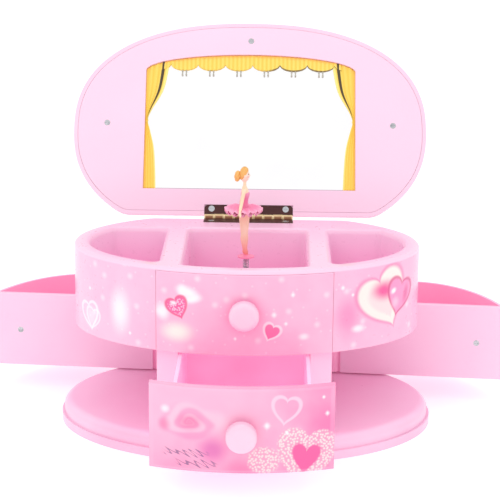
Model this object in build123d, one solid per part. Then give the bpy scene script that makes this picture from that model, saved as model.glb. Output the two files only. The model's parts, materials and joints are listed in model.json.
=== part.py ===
from build123d import *
import math
import os

# Ballerina jewellery box. Millimetres; X to the right, Y to the back, Z up.
# Origin: on the underside of the base, on the line where the front knobs and the hinge are centred.
# Drawn as it stands open: lid leaning back, drawer pulled out, both side trays swung out.

# ------------------------------------------------------------------ driving dimensions
# footprint of the body: an ellipse (half width, half depth, centre) cut flat at the back
body_half_width, body_half_depth, body_centre_y, body_rear_y = 92.4, 59.8, 2.0, 50.2
# how much wider and deeper the base and lid ellipses are, and how far they sit back from the body's
base_wider, base_deeper, base_set_back, base_behind = 8.6, 9.8, 3.7, 5.8
lid_wider, lid_deeper, lid_set_forward = 8.6, 4.3, 2.0
lid_fullness = 2.36
base_corner, body_corner, lid_corner = 16.0, 12.0, 16.0

# heights
base_height = 12.0
lower_storey = 44.4
upper_storey = 44.6
lid_height = 13.0
lid_gap = 0.3
movement_room = 19.1    # between the storey plate's underside and the compartments' floor

# moulded walls
skin = 1.8
base_skin = 2.2
lid_skin = 2.2
liner_thickness = 2.0
cover_thickness = 2.0
storey_plate = 1.6

# base shell
base_band = 4.6
base_step = 1.3
base_shoulder = 4.6
base_inner_step = 1.6
cover_screw_x_inset, cover_screw_side_y, cover_screw_front_inset = 31.0, 8.0, 15.9
boss_radius = 3.0

# upper tray
rim_width = 8.5
rim_round = 2.0
rear_rim_width = 23.2
pocket_corner, pocket_floor_round, pocket_lip_round = 3.0, 1.5, 2.4
ring_screw_front_inset, ring_screw_rear_y, ring_boss_radius = 21.8, 16.0, 3.4
partition_x = 32.0
partition_width = 12.5
false_front_thickness = 1.5

# lower storey
housing_half_width = 45.2
post_width = 11.2
housing_rear_round = 3.0
drawer_panel_thickness = 4.5
drawer_wall = 1.8
drawer_rear_room = 6.2
drawer_open = 48.0
drawer_screw_x, drawer_screw_bite = 26.0, 3.2
stop_tab_inset, stop_tab_width, stop_tab_drop = 17.8, 16.0, 3.0
housing_hollow_front = 14.0
base_screw_front_inset, base_screw_rear_inset = 35.8, 14.2
housing_boss_height, case_screw_bite = 12.0, 10.0

# side trays
tray_barrel_radius = 4.0
tray_panel_thickness = 1.6
tray_screw_inset, tray_screw_height = 15.4, 22.0
tray_boss_radius, tray_boss_length = 2.6, 7.0
left_tray_open = 94.2
right_tray_open = 84.6
pivot_pin_radius = 1.25
pivot_boss_radius = 2.1
pivot_boss_height = 6.0

# knobs
knob_radius = 7.6
knob_length = 9.0
knob_neck_radius, knob_neck_length = 3.8, 2.4
upper_knob_height = 22.5    # above the ring's lower edge
drawer_knob_height = 21.4   # above the base
knob_screw_length, knob_bore = 8.0, 6.5

# lid, mirror and curtains (measured up the lid from its rear edge)
lid_open = 116.9
lid_shoulder = 10.4
window_half_width, window_bottom, window_side_top, window_arch = 60.5, 15.0, 85.5, 10.0
mirror_overlap = 2.5
mirror_thickness = 2.0
backing_thickness = 1.0
print_thickness = 0.2
lid_top_screw_inset, lid_side_screw_inset, lid_side_screw_up = 10.6, 19.0, 53.6
lid_screw_length, lid_screw_bore = 7.0, 7.2
valance_cusps = 7
valance_depth = 6.0
valance_scallop = 3.5
tassel_radius, tassel_length = 0.7, 3.2
curtain_top_x, curtain_tie_x, curtain_foot_x = 47.3, 59.0, 53.5
curtain_tie = 56.0
curtain_foot = 16.0

# butt hinge
hinge_half_length = 25.0
leaf_thickness = 0.9
box_leaf_depth, lid_leaf_depth = 11.0, 7.3
leaf_corner = 2.0
leaf_gap = 0.2
knuckle_radius, knuckles = 1.8, 9
hinge_pin_radius = 0.8
hinge_pin_set_back = 1.5
hinge_screw_x, box_screw_set_back, lid_screw_set_back = 21.0, 6.5, 5.1
hinge_screw_length, hinge_boss_radius, hinge_boss_height = 5.2, 2.6, 8.0
hinge_pad_thickness = 3.0

# movement
axle_height = 9.4           # above the storey plate's underside
figure_x, figure_y = -0.5, 7.0
barrel_radius, barrel_front_y, barrel_length = 6.6, 13.0, 12.0
barrel_wall = 0.7
arbor_radius = 1.3
crown_pins, crown_pin_radius, crown_pitch_radius = 18, 0.42, 5.73
crown_pin_length = 2.1
pinion_teeth, pinion_tip, pinion_root = 9, 3.5, 2.0
pinion_foot, pinion_crest, pinion_width = 0.75, 0.5, 2.4
spindle_radius, spindle_stand = 1.2, 9.0
drum_radius, drum_start_x, drum_length = 4.4, 10.0, 13.6
drum_shaft_radius = 0.9
drum_pin_radius, drum_pin_length, drum_rows, drum_pins_per_row = 0.22, 0.5, 8, 9
comb_teeth, comb_thickness, comb_tooth_length, comb_root_length = 8, 0.8, 9.0, 6.0
wheel_pins, wheel_pin_radius, wheel_pitch_radius, wheel_pin_length = 12, 0.3, 3.8, 1.4
governor_teeth, governor_tip, governor_root = 6, 2.35, 1.1
governor_foot, governor_crest, governor_pinion_width = 0.7, 0.45, 1.8
governor_shaft_radius, fan_radius, fan_height, fan_thickness = 0.6, 4.2, 1.6, 0.5
plate_thickness = 0.8
bracket_thickness = 1.0
bracket_half_width = 3.0
mainspring_turns, mainspring_strip = 6, 0.3

# winding key
key_hub_radius, key_hub_length, key_lobe_radius, key_hole_radius = 2.6, 5.0, 6.0, 2.8
key_thickness = 1.8
bush_flange = 0.8
key_bush_radius, spindle_bush_radius = 3.2, 3.0

# figure: heights above the compartments' floor, then above the feet
spring_start_height, feet_height = 5.5, 15.1
spring_radius, spring_wire, spring_turns = 1.7, 0.2, 10
disc_radius, disc_height = 4.5, 1.6
hip_height, tutu_height, waist_height, shoulder_height = 24.4, 26.8, 30.9, 38.8
tutu_radius, tutu_offset_x, tutu_thickness = 10.4, -1.5, 2.0
head_centre_height, head_width, head_height = 45.4, 5.2, 8.4
hair_thickness = 0.5
bun_width, bun_height = 3.6, 6.2
arm_reach = 15.5

# clearances
run = 0.05          # radial, a shaft in its bore
slide = 0.5         # each side, a drawer in its bay
gap = 0.4           # between a swinging tray and what it passes
fit = 0.15          # round a piece set in a recess
seat_gap = 0.06     # under a flat screw head on a curved wall

seat = 0.02         # round a countersunk head

# screws: (thread radius, length, head radius, head height)
small_screw = (0.9, 6.0, 1.75, 0.9)
case_screw = (1.4, 11.0, 2.7, 2.0)

# ------------------------------------------------------------------ places worked out from them
base_half_width, base_half_depth = body_half_width + base_wider, body_half_depth + base_deeper
base_centre_y, base_rear_y = body_centre_y + base_set_back, body_rear_y + base_behind
lid_half_width, lid_half_depth = body_half_width + lid_wider, body_half_depth + lid_deeper
lid_centre_y, lid_rear_y = body_centre_y - lid_set_forward, body_rear_y
deck_z = base_height
ring_z = deck_z + lower_storey
rim_z = ring_z + upper_storey
floor_z = ring_z + movement_room
bay_half_width = housing_half_width - post_width
pocket_rear_y = body_rear_y - rear_rim_width
drawer_rear_y = body_rear_y - drawer_rear_room
lid_z = rim_z + lid_gap
hinge_y = body_rear_y + hinge_pin_set_back
hinge_z = (rim_z + lid_z) / 2
tray_face_x = housing_half_width + gap
pivot_x = tray_face_x + tray_barrel_radius
pivot_y = body_rear_y - tray_barrel_radius
tray_low_z, tray_high_z = deck_z + 0.9, ring_z - 1.0
drawer_low_z, drawer_high_z = deck_z + skin + 0.3, ring_z - 1.4
panel_low_z, panel_high_z = deck_z + 0.9, ring_z - 0.3
front_y = body_centre_y - body_half_depth
tray_end_y = body_centre_y - body_half_depth * math.sqrt(1 - (tray_face_x / body_half_width) ** 2)
tray_screw_y, tray_screw_z = tray_end_y + tray_screw_inset, deck_z + tray_screw_height
stop_tab_y = front_y + stop_tab_inset
upper_knob_z, drawer_knob_z = ring_z + upper_knob_height, deck_z + drawer_knob_height
cavity_z = ring_z + storey_plate
frame_z = cavity_z + plate_thickness
post_x = housing_half_width - post_width / 2
ring_screw_x = partition_x + partition_width / 2 + 0.6
ring_screw_ys = (front_y + ring_screw_front_inset, ring_screw_rear_y)
base_screw_ys = (front_y + base_screw_front_inset, body_rear_y - base_screw_rear_inset)
cover_screw_x = base_half_width - cover_screw_x_inset
cover_screw_places = [(-cover_screw_x, cover_screw_side_y), (cover_screw_x, cover_screw_side_y),
                      (0.0, base_centre_y - base_half_depth + cover_screw_front_inset)]
lid_screw_places = [(0.0, lid_rear_y - lid_centre_y + lid_half_depth - lid_top_screw_inset),
                    (lid_side_screw_inset - lid_half_width, lid_side_screw_up),
                    (lid_half_width - lid_side_screw_inset, lid_side_screw_up)]
axle_z = ring_z + axle_height
spindle_top_z, spring_start_z = floor_z + spindle_stand, floor_z + spring_start_height
feet_z = floor_z + feet_height
hip_z, tutu_z, waist_z = feet_z + hip_height, feet_z + tutu_height, feet_z + waist_height
shoulder_z, head_z = feet_z + shoulder_height, feet_z + head_centre_height
frame_screw_places = [(figure_x - 7.5, figure_y - 4.0), (figure_x + 33.5, figure_y + 13.0),
                      (figure_x - 7.5, figure_y + 20.0)]
pinion_pitch = crown_pitch_radius * pinion_teeth / crown_pins
crown_y = figure_y + pinion_pitch + crown_pin_length - 0.6
governor_pitch = wheel_pitch_radius * governor_teeth / wheel_pins
wheel_x = drum_start_x + drum_length + 2 * bracket_thickness + 1.5
governor_x = wheel_x + governor_pitch + 0.9


# ------------------------------------------------------------------ helpers
def d_face(half_width, half_depth, centre_y, rear_y, corner):
    """Ellipse cut flat at the back, with the two rear corners rounded."""
    depth = rear_y - centre_y + half_depth
    keep = Pos(0, rear_y - depth / 2) * Rectangle(2 * half_width, depth)
    face = Pos(0, centre_y) * Ellipse(half_width, half_depth) & keep
    corners = face.vertices().filter_by(lambda v: v.Y > rear_y - 0.01)
    return fillet(corners, corner)


def base_face(inset):
    return d_face(base_half_width - inset, base_half_depth - inset, base_centre_y,
                  base_rear_y - inset, base_corner - inset)


def body_face(inset):
    return d_face(body_half_width - inset, body_half_depth - inset, body_centre_y,
                  body_rear_y - inset, max(body_corner - inset, 2.0))


def full_oval(half_width, half_depth):
    """Oval fuller than an ellipse: |x / a| ** n + |y / b| ** n = 1 for n = lid_fullness."""
    steps = 48
    power = 2 / lid_fullness
    points = []
    for i in range(steps):
        across, along = math.cos(2 * math.pi * i / steps), math.sin(2 * math.pi * i / steps)
        points.append((half_width * math.copysign(abs(across) ** power, across),
                       half_depth * math.copysign(abs(along) ** power, along)))
    return make_face(Spline(*points, periodic=True))


def lid_face(inset):
    """The full oval cut flat at the back, with the two rear corners rounded."""
    half_width, half_depth = lid_half_width - inset, lid_half_depth - inset
    rear_y = lid_rear_y - inset
    depth = rear_y - lid_centre_y + half_depth + 1
    keep = Pos(0, rear_y - depth / 2) * Rectangle(2 * half_width + 2, depth)
    face = Pos(0, lid_centre_y) * full_oval(half_width, half_depth) & keep
    corners = face.vertices().filter_by(lambda v: v.Y > rear_y - 0.01)
    return fillet(corners, lid_corner - inset)


def slab(face, low, high):
    """A flat outline raised from one height to another."""
    return extrude(Pos(0, 0, low) * face, amount=high - low)


def block(x0, x1, y0, y1, z0, z1):
    centre = Pos((x0 + x1) / 2, (y0 + y1) / 2, (z0 + z1) / 2)
    return centre * Box(x1 - x0, y1 - y0, z1 - z0)


def strip(x0, x1, y0, y1):
    return Pos((x0 + x1) / 2, (y0 + y1) / 2) * Rectangle(x1 - x0, y1 - y0)


def rod(radius, start, end, end_radius=None):
    """Round bar or cone between two points."""
    axis = Vector(*end) - Vector(*start)
    place = Plane(origin=start, z_dir=axis).location
    if end_radius is None:
        shape = Cylinder(radius, axis.length, align=(Align.CENTER, Align.CENTER, Align.MIN))
    else:
        shape = Cone(radius, end_radius, axis.length, align=(Align.CENTER, Align.CENTER, Align.MIN))
    return place * shape


def tube(outer, inner, start, end):
    return rod(outer, start, end) - rod(inner, start, end)


def pan_screw(kind, tip_direction, seat):
    """Screw with a flat round head; the seat is the middle of the head's underside."""
    thread, length, head, height = kind
    way = Vector(*tip_direction)
    back = Vector(*seat) - way * height
    tip = Vector(*seat) + way * length
    body = rod(head, tuple(back), tuple(seat)) + rod(thread, tuple(back), tuple(tip))
    cross = Box(1.5 * head, 0.3 * head, height) + Box(0.3 * head, 1.5 * head, height)
    return body - Plane(origin=tuple(back), z_dir=way).location * cross


def flush_screw(kind, tip_direction, face_point, length):
    """Countersunk screw; the face point is the middle of the head's flat top."""
    thread, _, head, height = kind
    way = Vector(*tip_direction)
    neck = Vector(*face_point) + way * height
    tip = Vector(*face_point) + way * length
    body = rod(head, face_point, tuple(neck), thread) + rod(thread, face_point, tuple(tip))
    cross = Box(1.4 * head, 0.28 * head, 0.6 * height) + Box(0.28 * head, 1.4 * head, 0.6 * height)
    return body - Plane(origin=face_point, z_dir=way).location * cross


def flush_hole(kind, tip_direction, face_point, length):
    """Clearance for a countersunk screw: its cone and its thread, with a little round them."""
    thread, _, head, height = kind
    way = Vector(*tip_direction)
    neck = Vector(*face_point) + way * height
    tip = Vector(*face_point) + way * length
    cone = rod(head + seat, face_point, tuple(neck), thread + seat)
    return cone + rod(thread + seat, face_point, tuple(tip))


def toothed_face(teeth, root, tip, foot, crest, phase):
    """Pinion outline: a root circle with straight-sided teeth, the first one at the phase angle."""
    tooth = make_face(Polyline((root - 0.4, -foot / 2), (tip, -crest / 2), (tip, crest / 2),
                               (root - 0.4, foot / 2), close=True))
    face = Circle(root)
    for i in range(teeth):
        face += Rot(0, 0, phase + i * 360 / teeth) * tooth
    return face


def turned(profile_points, start, direction):
    """Solid of revolution from (radius, distance) points, standing on start along direction."""
    half = make_face(Polyline((0, profile_points[0][1]), *profile_points,
                              (0, profile_points[-1][1]), close=True))
    solid = revolve(Plane.XZ * half, axis=Axis.Z)
    return Plane(origin=start, z_dir=direction).location * solid


def swung(shape, x, y, degrees):
    """Turned about an upright line through (x, y)."""
    return Pos(x, y, 0) * Rot(0, 0, degrees) * Pos(-x, -y, 0) * shape


def lid_pose(shape):
    """From the closed lid to the open one, about the hinge pin."""
    return Pos(0, hinge_y, hinge_z) * Rot(-lid_open, 0, 0) * Pos(0, -hinge_y, -hinge_z) * shape


def mirrored(shape):
    return mirror(shape, about=Plane.YZ)


# ------------------------------------------------------------------ base
def base_shell():
    """Oval foot moulding: a plain band below, a stepped and rounded shoulder above, hollow beneath."""
    crown = slab(base_face(base_step), base_band, base_height)
    crown = fillet(crown.faces().sort_by(Axis.Z)[-1].edges(), base_shoulder)
    shell = slab(base_face(0), 0, base_band) + crown
    shell -= slab(base_face(base_step + base_skin + base_inner_step), 0, base_height - base_skin)
    for x, y in cover_screw_places:
        shell += rod(boss_radius, (x, y, cover_thickness), (x, y, base_height - base_skin))
        shell -= rod(small_screw[0], (x, y, 0), (x, y, cover_thickness + small_screw[1]))
    for side in (-1, 1):
        pin = (side * pivot_x, pivot_y)
        shell += rod(pivot_pin_radius + skin, (*pin, base_height - pivot_boss_height), (*pin, base_height))
        shell -= rod(pivot_pin_radius, (*pin, base_height - pivot_boss_height), (*pin, base_height))
        for y in base_screw_ys:
            shell -= rod(case_screw[0], (side * post_x, y, 0), (side * post_x, y, base_height))
    return shell


def base_cover():
    """Flat plate that closes the base from below; its underside is what the box rests on."""
    cover = slab(base_face(base_step + base_skin + base_inner_step + fit), 0, cover_thickness)
    for x, y in cover_screw_places:
        cover -= flush_hole(small_screw, (0, 0, 1), (x, y, 0), cover_thickness)
    return cover


def base_cover_screws():
    return [flush_screw(small_screw, (0, 0, 1), (x, y, 0), cover_thickness + small_screw[1])
            for x, y in cover_screw_places]


# ------------------------------------------------------------------ lower storey
def drawer_curve(inset, half, rear_y):
    """Between two sides and a rear line, with a front that follows the body's curve, set in from it."""
    oval = Pos(0, body_centre_y) * Ellipse(body_half_width - inset, body_half_depth - inset)
    return strip(-half, half, body_centre_y, rear_y) + (oval & strip(-half, half, -200, body_centre_y))


def housing_face():
    face = drawer_curve(drawer_panel_thickness + slide, housing_half_width, body_rear_y)
    corners = face.vertices().filter_by(lambda v: v.Y > body_rear_y - 0.01)
    return fillet(corners, housing_rear_round)


def lower_housing():
    """Open-fronted bay for the drawer, between two hollow walls that carry the upper storey."""
    housing = slab(housing_face(), deck_z, ring_z)
    housing -= block(-bay_half_width, bay_half_width, -200, body_rear_y - skin, deck_z + skin, ring_z)
    inner, outer = bay_half_width + skin, housing_half_width - skin
    for side in (-1, 1):
        x0, x1 = sorted((side * inner, side * outer))
        hollow = block(x0, x1, front_y + housing_hollow_front, body_rear_y - 2 * skin, deck_z, ring_z - skin)
        for y in base_screw_ys:
            place = (side * post_x, y)
            hollow -= rod(post_width / 2, (*place, deck_z), (*place, deck_z + housing_boss_height))
        housing -= hollow
        for y in base_screw_ys:
            place = (side * post_x, y)
            housing -= rod(case_screw[0], (*place, deck_z), (*place, deck_z + case_screw_bite))
        for y in ring_screw_ys:
            place = (side * ring_screw_x, y)
            housing -= rod(case_screw[0] + fit, (*place, ring_z - skin), (*place, ring_z))
    return housing


def base_screws():
    """Four screws up through the base's top skin into the housing's walls."""
    return [pan_screw(case_screw, (0, 0, 1), (side * post_x, y, base_height - base_skin))
            for side in (-1, 1) for y in base_screw_ys]


def storey_screws():
    """Four screws inside the hollow walls, up into the partitions of the upper tray."""
    return [pan_screw(case_screw, (0, 0, 1), (side * ring_screw_x, y, ring_z - skin))
            for side in (-1, 1) for y in ring_screw_ys]


# ------------------------------------------------------------------ upper storey
def pocket_face(x0, x1, grow):
    """One compartment, or with grow the outside of its wall."""
    face = body_face(rim_width - grow) & strip(x0 - grow, x1 + grow, -200, pocket_rear_y + grow)
    return fillet(face.vertices(), pocket_corner + grow)


def pocket_spans():
    outer = partition_x + partition_width
    return [(-body_half_width, -outer), (-partition_x, partition_x), (outer, body_half_width)]


def upper_tray():
    """Oval tray with three compartments, double-walled and open beneath."""
    tray = slab(body_face(0), ring_z, rim_z)
    tray = fillet(tray.faces().sort_by(Axis.Z)[-1].edges(), rim_round)
    front_zone = strip(-housing_half_width, housing_half_width, -200, -20)
    recess = front_zone - body_face(false_front_thickness)
    tray -= slab(recess, ring_z, rim_z - rim_round)
    hollow = body_face(skin) - (strip(-housing_half_width - skin, housing_half_width + skin, -200, -20)
                                - body_face(false_front_thickness + skin))
    hollow = slab(hollow, ring_z, rim_z - skin)
    for x0, x1 in pocket_spans():
        hollow -= slab(pocket_face(x0, x1, skin), floor_z - skin, rim_z)
    for side in (-1, 1):
        for y in ring_screw_ys:
            place = (side * ring_screw_x, y)
            hollow -= rod(ring_boss_radius, (*place, cavity_z), (*place, rim_z))
        place = (side * hinge_screw_x, hinge_y - box_screw_set_back)
        hollow -= rod(hinge_boss_radius, (*place, rim_z - hinge_boss_height), (*place, rim_z))
    tray -= hollow
    for x0, x1 in pocket_spans():
        pocket = slab(pocket_face(x0, x1, 0), floor_z, rim_z)
        pocket = fillet(pocket.faces().sort_by(Axis.Z)[0].edges(), pocket_floor_round)
        tray -= pocket
    lip = tray.faces().filter_by(Plane.XY).sort_by(Axis.Z)[-1].inner_wires()
    tray = fillet([edge for wire in lip for edge in wire.edges()], pocket_lip_round)
    for side in (-1, 1):
        for y in ring_screw_ys:
            place = (side * ring_screw_x, y)
            tray -= rod(case_screw[0], (*place, ring_z), (*place, ring_z + case_screw[1] + fit))
        place = (side * hinge_screw_x, hinge_y - box_screw_set_back)
        tray -= rod(small_screw[0], (*place, rim_z - hinge_screw_length), (*place, rim_z))
    tray -= leaf_recess(False)
    tray -= rod(spindle_bush_radius, (figure_x, figure_y, floor_z - skin), (figure_x, figure_y, floor_z))
    tray -= rod(key_bush_radius, (figure_x, body_rear_y - skin, axle_z), (figure_x, body_rear_y, axle_z))
    knob_hole = case_screw[2] + fit
    tray -= rod(knob_hole, (0, front_y, upper_knob_z), (0, front_y + 4, upper_knob_z))
    return tray


def leaf_recess(lid_side):
    """Room let into the rim or the liner for one leaf, and round the knuckles."""
    half = hinge_half_length + fit
    depth = lid_leaf_depth if lid_side else box_leaf_depth
    low = lid_z if lid_side else rim_z - leaf_thickness
    room = block(-half, half, hinge_y - depth - fit, hinge_y, low - seat, low + leaf_thickness + seat)
    return room + rod(knuckle_radius + 0.3, (-half, hinge_y, hinge_z), (half, hinge_y, hinge_z))


def upper_floor():
    """Plate that closes the upper storey from below and carries the movement and the drawer's stop."""
    plate = slab(body_face(skin + fit) - (strip(-housing_half_width - skin - fit,
                                                housing_half_width + skin + fit, -200, -20)
                                          - body_face(false_front_thickness + skin + fit)),
                 ring_z, cavity_z)
    half_tab = stop_tab_width / 2
    plate += block(-half_tab, half_tab, stop_tab_y - 1, stop_tab_y + 1, ring_z - stop_tab_drop, ring_z)
    for side in (-1, 1):
        pin = (side * pivot_x, pivot_y)
        plate += rod(pivot_boss_radius, (*pin, ring_z), (*pin, ring_z + pivot_boss_height))
        plate -= rod(pivot_pin_radius, (*pin, ring_z), (*pin, ring_z + pivot_boss_height))
        for y in ring_screw_ys:
            place = (side * ring_screw_x, y)
            plate -= rod(case_screw[0] + fit, (*place, ring_z), (*place, cavity_z))
    for x, y in frame_screw_places:
        plate -= flush_hole(small_screw, (0, 0, 1), (x, y, ring_z), storey_plate)
    return plate


def upper_front_panel():
    """Curved false drawer front set flush into the upper storey."""
    half = housing_half_width - fit
    face = body_face(0) & strip(-half, half, -200, -20)
    face -= body_face(false_front_thickness)
    panel = slab(face, ring_z, rim_z - rim_round - fit)
    return panel - rod(case_screw[0], (0, front_y - 1, upper_knob_z), (0, front_y + 4, upper_knob_z))


# ------------------------------------------------------------------ knobs
def knob(y, z):
    """Round pull with a short neck and a softly domed face, pointing forward from (0, y, z)."""
    shape = turned([(knob_neck_radius, 0), (knob_neck_radius, knob_neck_length),
                    (knob_radius, knob_neck_length + 0.8), (knob_radius, knob_length)],
                   (0, y, z), (0, -1, 0))
    face = shape.faces().sort_by(Axis.Y)[0]
    shape = fillet(face.edges(), 0.42 * (knob_length - knob_neck_length))
    return shape - rod(case_screw[0], (0, y, z), (0, y - knob_bore, z))


def knob_screw(seat_y, z):
    thread, _, head, height = case_screw
    return pan_screw((thread, knob_screw_length, head, height), (0, -1, 0), (0, seat_y, z))


# ------------------------------------------------------------------ drawer
def drawer_bin():
    half = bay_half_width - slide
    outline = drawer_curve(drawer_panel_thickness, half, drawer_rear_y)
    inside = drawer_curve(drawer_panel_thickness + drawer_wall, half - drawer_wall,
                          drawer_rear_y - drawer_wall)
    shape = slab(outline, drawer_low_z, drawer_high_z)
    shape -= slab(inside, drawer_low_z + drawer_wall, drawer_high_z)
    ahead, behind = front_y - 1, front_y + 28
    for x in (-drawer_screw_x, drawer_screw_x):
        shape -= rod(small_screw[0], (x, ahead, drawer_knob_z), (x, behind, drawer_knob_z))
    shape -= rod(case_screw[2] + fit, (0, ahead, drawer_knob_z), (0, behind, drawer_knob_z))
    return Pos(0, -drawer_open, 0) * shape


def drawer_front():
    face = body_face(0) & strip(-housing_half_width, housing_half_width, -200, -20)
    face -= drawer_curve(drawer_panel_thickness, housing_half_width + 1, drawer_rear_y)
    panel = slab(face, panel_low_z, panel_high_z)
    behind = front_y + 28
    panel -= rod(case_screw[0], (0, front_y - 1, drawer_knob_z), (0, behind, drawer_knob_z))
    for x in (-drawer_screw_x, drawer_screw_x):
        tip = drawer_wall_y(x) - drawer_screw_bite
        panel -= rod(small_screw[0], (x, tip, drawer_knob_z), (x, behind, drawer_knob_z))
    return Pos(0, -drawer_open, 0) * panel


def drawer_wall_y(x):
    """Where the drawer's front wall meets the curved panel, at a given x."""
    a, b = body_half_width - drawer_panel_thickness, body_half_depth - drawer_panel_thickness
    return body_centre_y - b * math.sqrt(1 - (x / a) ** 2)


def drawer_screws():
    """Two screws from inside the bin into the curved front."""
    thread, _, head, height = small_screw
    short = (thread, drawer_wall + drawer_screw_bite + 0.2, head, height)
    return [pan_screw(short, (0, -1, 0), (x, drawer_wall_y(x) + drawer_wall + 0.5 - drawer_open,
                                          drawer_knob_z)) for x in (-drawer_screw_x, drawer_screw_x)]


# ------------------------------------------------------------------ side trays (drawn closed, right side)
def tray_bin():
    inner_x = tray_face_x + tray_panel_thickness + 0.1
    outline = body_face(0) & strip(inner_x, 200, -200, 200)
    outline -= strip(inner_x - 1, pivot_x, pivot_y, 200)
    shape = slab(outline, tray_low_z, tray_high_z)
    shape += rod(tray_barrel_radius, (pivot_x, pivot_y, tray_low_z), (pivot_x, pivot_y, tray_high_z))
    inside = body_face(skin) & strip(inner_x + skin, 200, -200, 200)
    inside -= Pos(pivot_x, pivot_y) * Circle(tray_barrel_radius + 0.8)
    hollow = slab(inside, tray_low_z + skin, tray_high_z)
    hollow -= rod(tray_boss_radius, (inner_x, tray_screw_y, tray_screw_z),
                  (inner_x + tray_boss_length, tray_screw_y, tray_screw_z))
    shape -= hollow
    shape -= rod(small_screw[0], (inner_x, tray_screw_y, tray_screw_z),
                 (inner_x + tray_boss_length - 1.4, tray_screw_y, tray_screw_z))
    pivot = (pivot_x, pivot_y)
    return shape - rod(pivot_pin_radius + run, (*pivot, tray_low_z), (*pivot, tray_high_z))


def tray_panel():
    """Flat face of the tray, with one screw near the free end."""
    face = body_face(0) & strip(tray_face_x, tray_face_x + tray_panel_thickness, -200,
                                pivot_y - tray_barrel_radius - 0.2)
    panel = slab(face, tray_low_z, tray_high_z)
    return panel - flush_hole(small_screw, (1, 0, 0), (tray_face_x, tray_screw_y, tray_screw_z), 4.0)


def tray_screw():
    return flush_screw(small_screw, (1, 0, 0), (tray_face_x, tray_screw_y, tray_screw_z), 7.0)


def on_right(shape):
    return swung(shape, pivot_x, pivot_y, right_tray_open)


def on_left(shape):
    return swung(mirrored(shape), -pivot_x, pivot_y, -left_tray_open)


def pivot_pin(side):
    """Upright pin through the tray's barrel, held in the base and in the upper floor."""
    x = side * pivot_x
    return rod(pivot_pin_radius, (x, pivot_y, base_height - pivot_boss_height),
               (x, pivot_y, ring_z + pivot_boss_height))


# ------------------------------------------------------------------ lid (drawn closed, then opened)
def lid_place(x, up_lid):
    return (x, lid_rear_y - up_lid)


def lid_shell():
    """Shallow dome with a thin edge, hollow beneath, with three posts for the liner's screws."""
    shell = slab(lid_face(0), lid_z, lid_z + lid_height)
    shell = fillet(shell.faces().sort_by(Axis.Z)[-1].edges(), lid_shoulder)
    hollow = slab(lid_face(lid_skin), lid_z, lid_z + lid_height - lid_skin)
    hollow = fillet(hollow.faces().sort_by(Axis.Z)[-1].edges(), lid_shoulder - lid_skin)
    for x, up_lid in lid_screw_places:
        place = lid_place(x, up_lid)
        hollow -= rod(boss_radius, (*place, lid_z + liner_thickness), (*place, lid_z + lid_height))
    shell -= hollow
    for x, up_lid in lid_screw_places:
        place = lid_place(x, up_lid)
        shell -= rod(small_screw[0], (*place, lid_z), (*place, lid_z + lid_screw_bore))
    return shell - leaf_recess(True)


def window_face(grow):
    """Mirror window: straight sides and foot, and a half-elliptic arch on top."""
    half = window_half_width + grow
    low, high = lid_rear_y - window_bottom + grow, lid_rear_y - window_side_top
    arch = Pos(0, high) * Ellipse(half, window_arch + grow) & strip(-half, half, -200, high)
    return strip(-half, half, high, low) + arch


def lid_liner():
    """Flat inner panel with the mirror window."""
    liner = slab(lid_face(lid_skin + fit) - window_face(0), lid_z, lid_z + liner_thickness)
    for x, up_lid in lid_screw_places:
        liner -= flush_hole(small_screw, (0, 0, 1), (*lid_place(x, up_lid), lid_z), liner_thickness)
    for side in (-1, 1):
        place = (side * hinge_screw_x, hinge_y - lid_screw_set_back)
        liner -= rod(small_screw[0], (*place, lid_z), (*place, lid_z + liner_thickness))
    return liner - leaf_recess(True)


def lid_screws():
    return [flush_screw(small_screw, (0, 0, 1), (*lid_place(x, up_lid), lid_z), lid_screw_length)
            for x, up_lid in lid_screw_places]


def hinge_pad():
    """Glued block behind the liner that the hinge's lid screws bite into."""
    half = hinge_screw_x + 4.0
    middle = hinge_y - lid_screw_set_back
    pad = block(-half, half, middle - 3.0, middle + 1.0,
                lid_z + liner_thickness, lid_z + liner_thickness + hinge_pad_thickness)
    for side in (-1, 1):
        place = (side * hinge_screw_x, middle)
        pad -= rod(small_screw[0], (*place, lid_z), (*place, lid_z + 10))
    return pad


def mirror_glass():
    low = lid_z + liner_thickness
    return slab(window_face(mirror_overlap), low, low + mirror_thickness)


def mirror_backing():
    low = lid_z + liner_thickness + mirror_thickness
    return slab(window_face(mirror_overlap - 0.5), low, low + backing_thickness)


def curtain_print():
    """Thin print on the glass: a scalloped valance with tassels, and two curtains tied back."""
    window = window_face(-fit)
    edge = lid_rear_y
    low_y = edge - window_side_top
    pitch = 2 * window_half_width / valance_cusps
    scallop_y = low_y - valance_depth + valance_scallop
    open_part = strip(-100, 100, scallop_y, 200)
    for i in range(valance_cusps):
        centre = -window_half_width + (i + 0.5) * pitch
        open_part += Pos(centre, scallop_y) * Ellipse(pitch / 2, valance_scallop)
    valance = window - open_part
    for i in range(1, valance_cusps):
        x = -window_half_width + i * pitch
        valance += strip(x - tassel_radius, x + tassel_radius,
                         low_y - valance_depth, low_y + tassel_length - 2)
    side_line = Spline((curtain_top_x, edge - 90.0), (curtain_top_x + 3.0, edge - 74.0),
                       (curtain_tie_x, edge - curtain_tie))
    foot_line = Spline((curtain_tie_x, edge - curtain_tie), (curtain_tie_x - 3.5, edge - 40.0),
                       (curtain_foot_x, edge - curtain_foot))
    outer = window_half_width + 5
    curtain = make_face(Wire([side_line, foot_line] + Polyline(
        foot_line @ 1, (outer, edge - curtain_foot), (outer, edge - 90.0), side_line @ 0).edges()))
    sheet = valance + (curtain & window) + (mirror(curtain, about=Plane.YZ) & window)
    high = lid_z + liner_thickness
    return slab(sheet, high - print_thickness, high)


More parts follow.
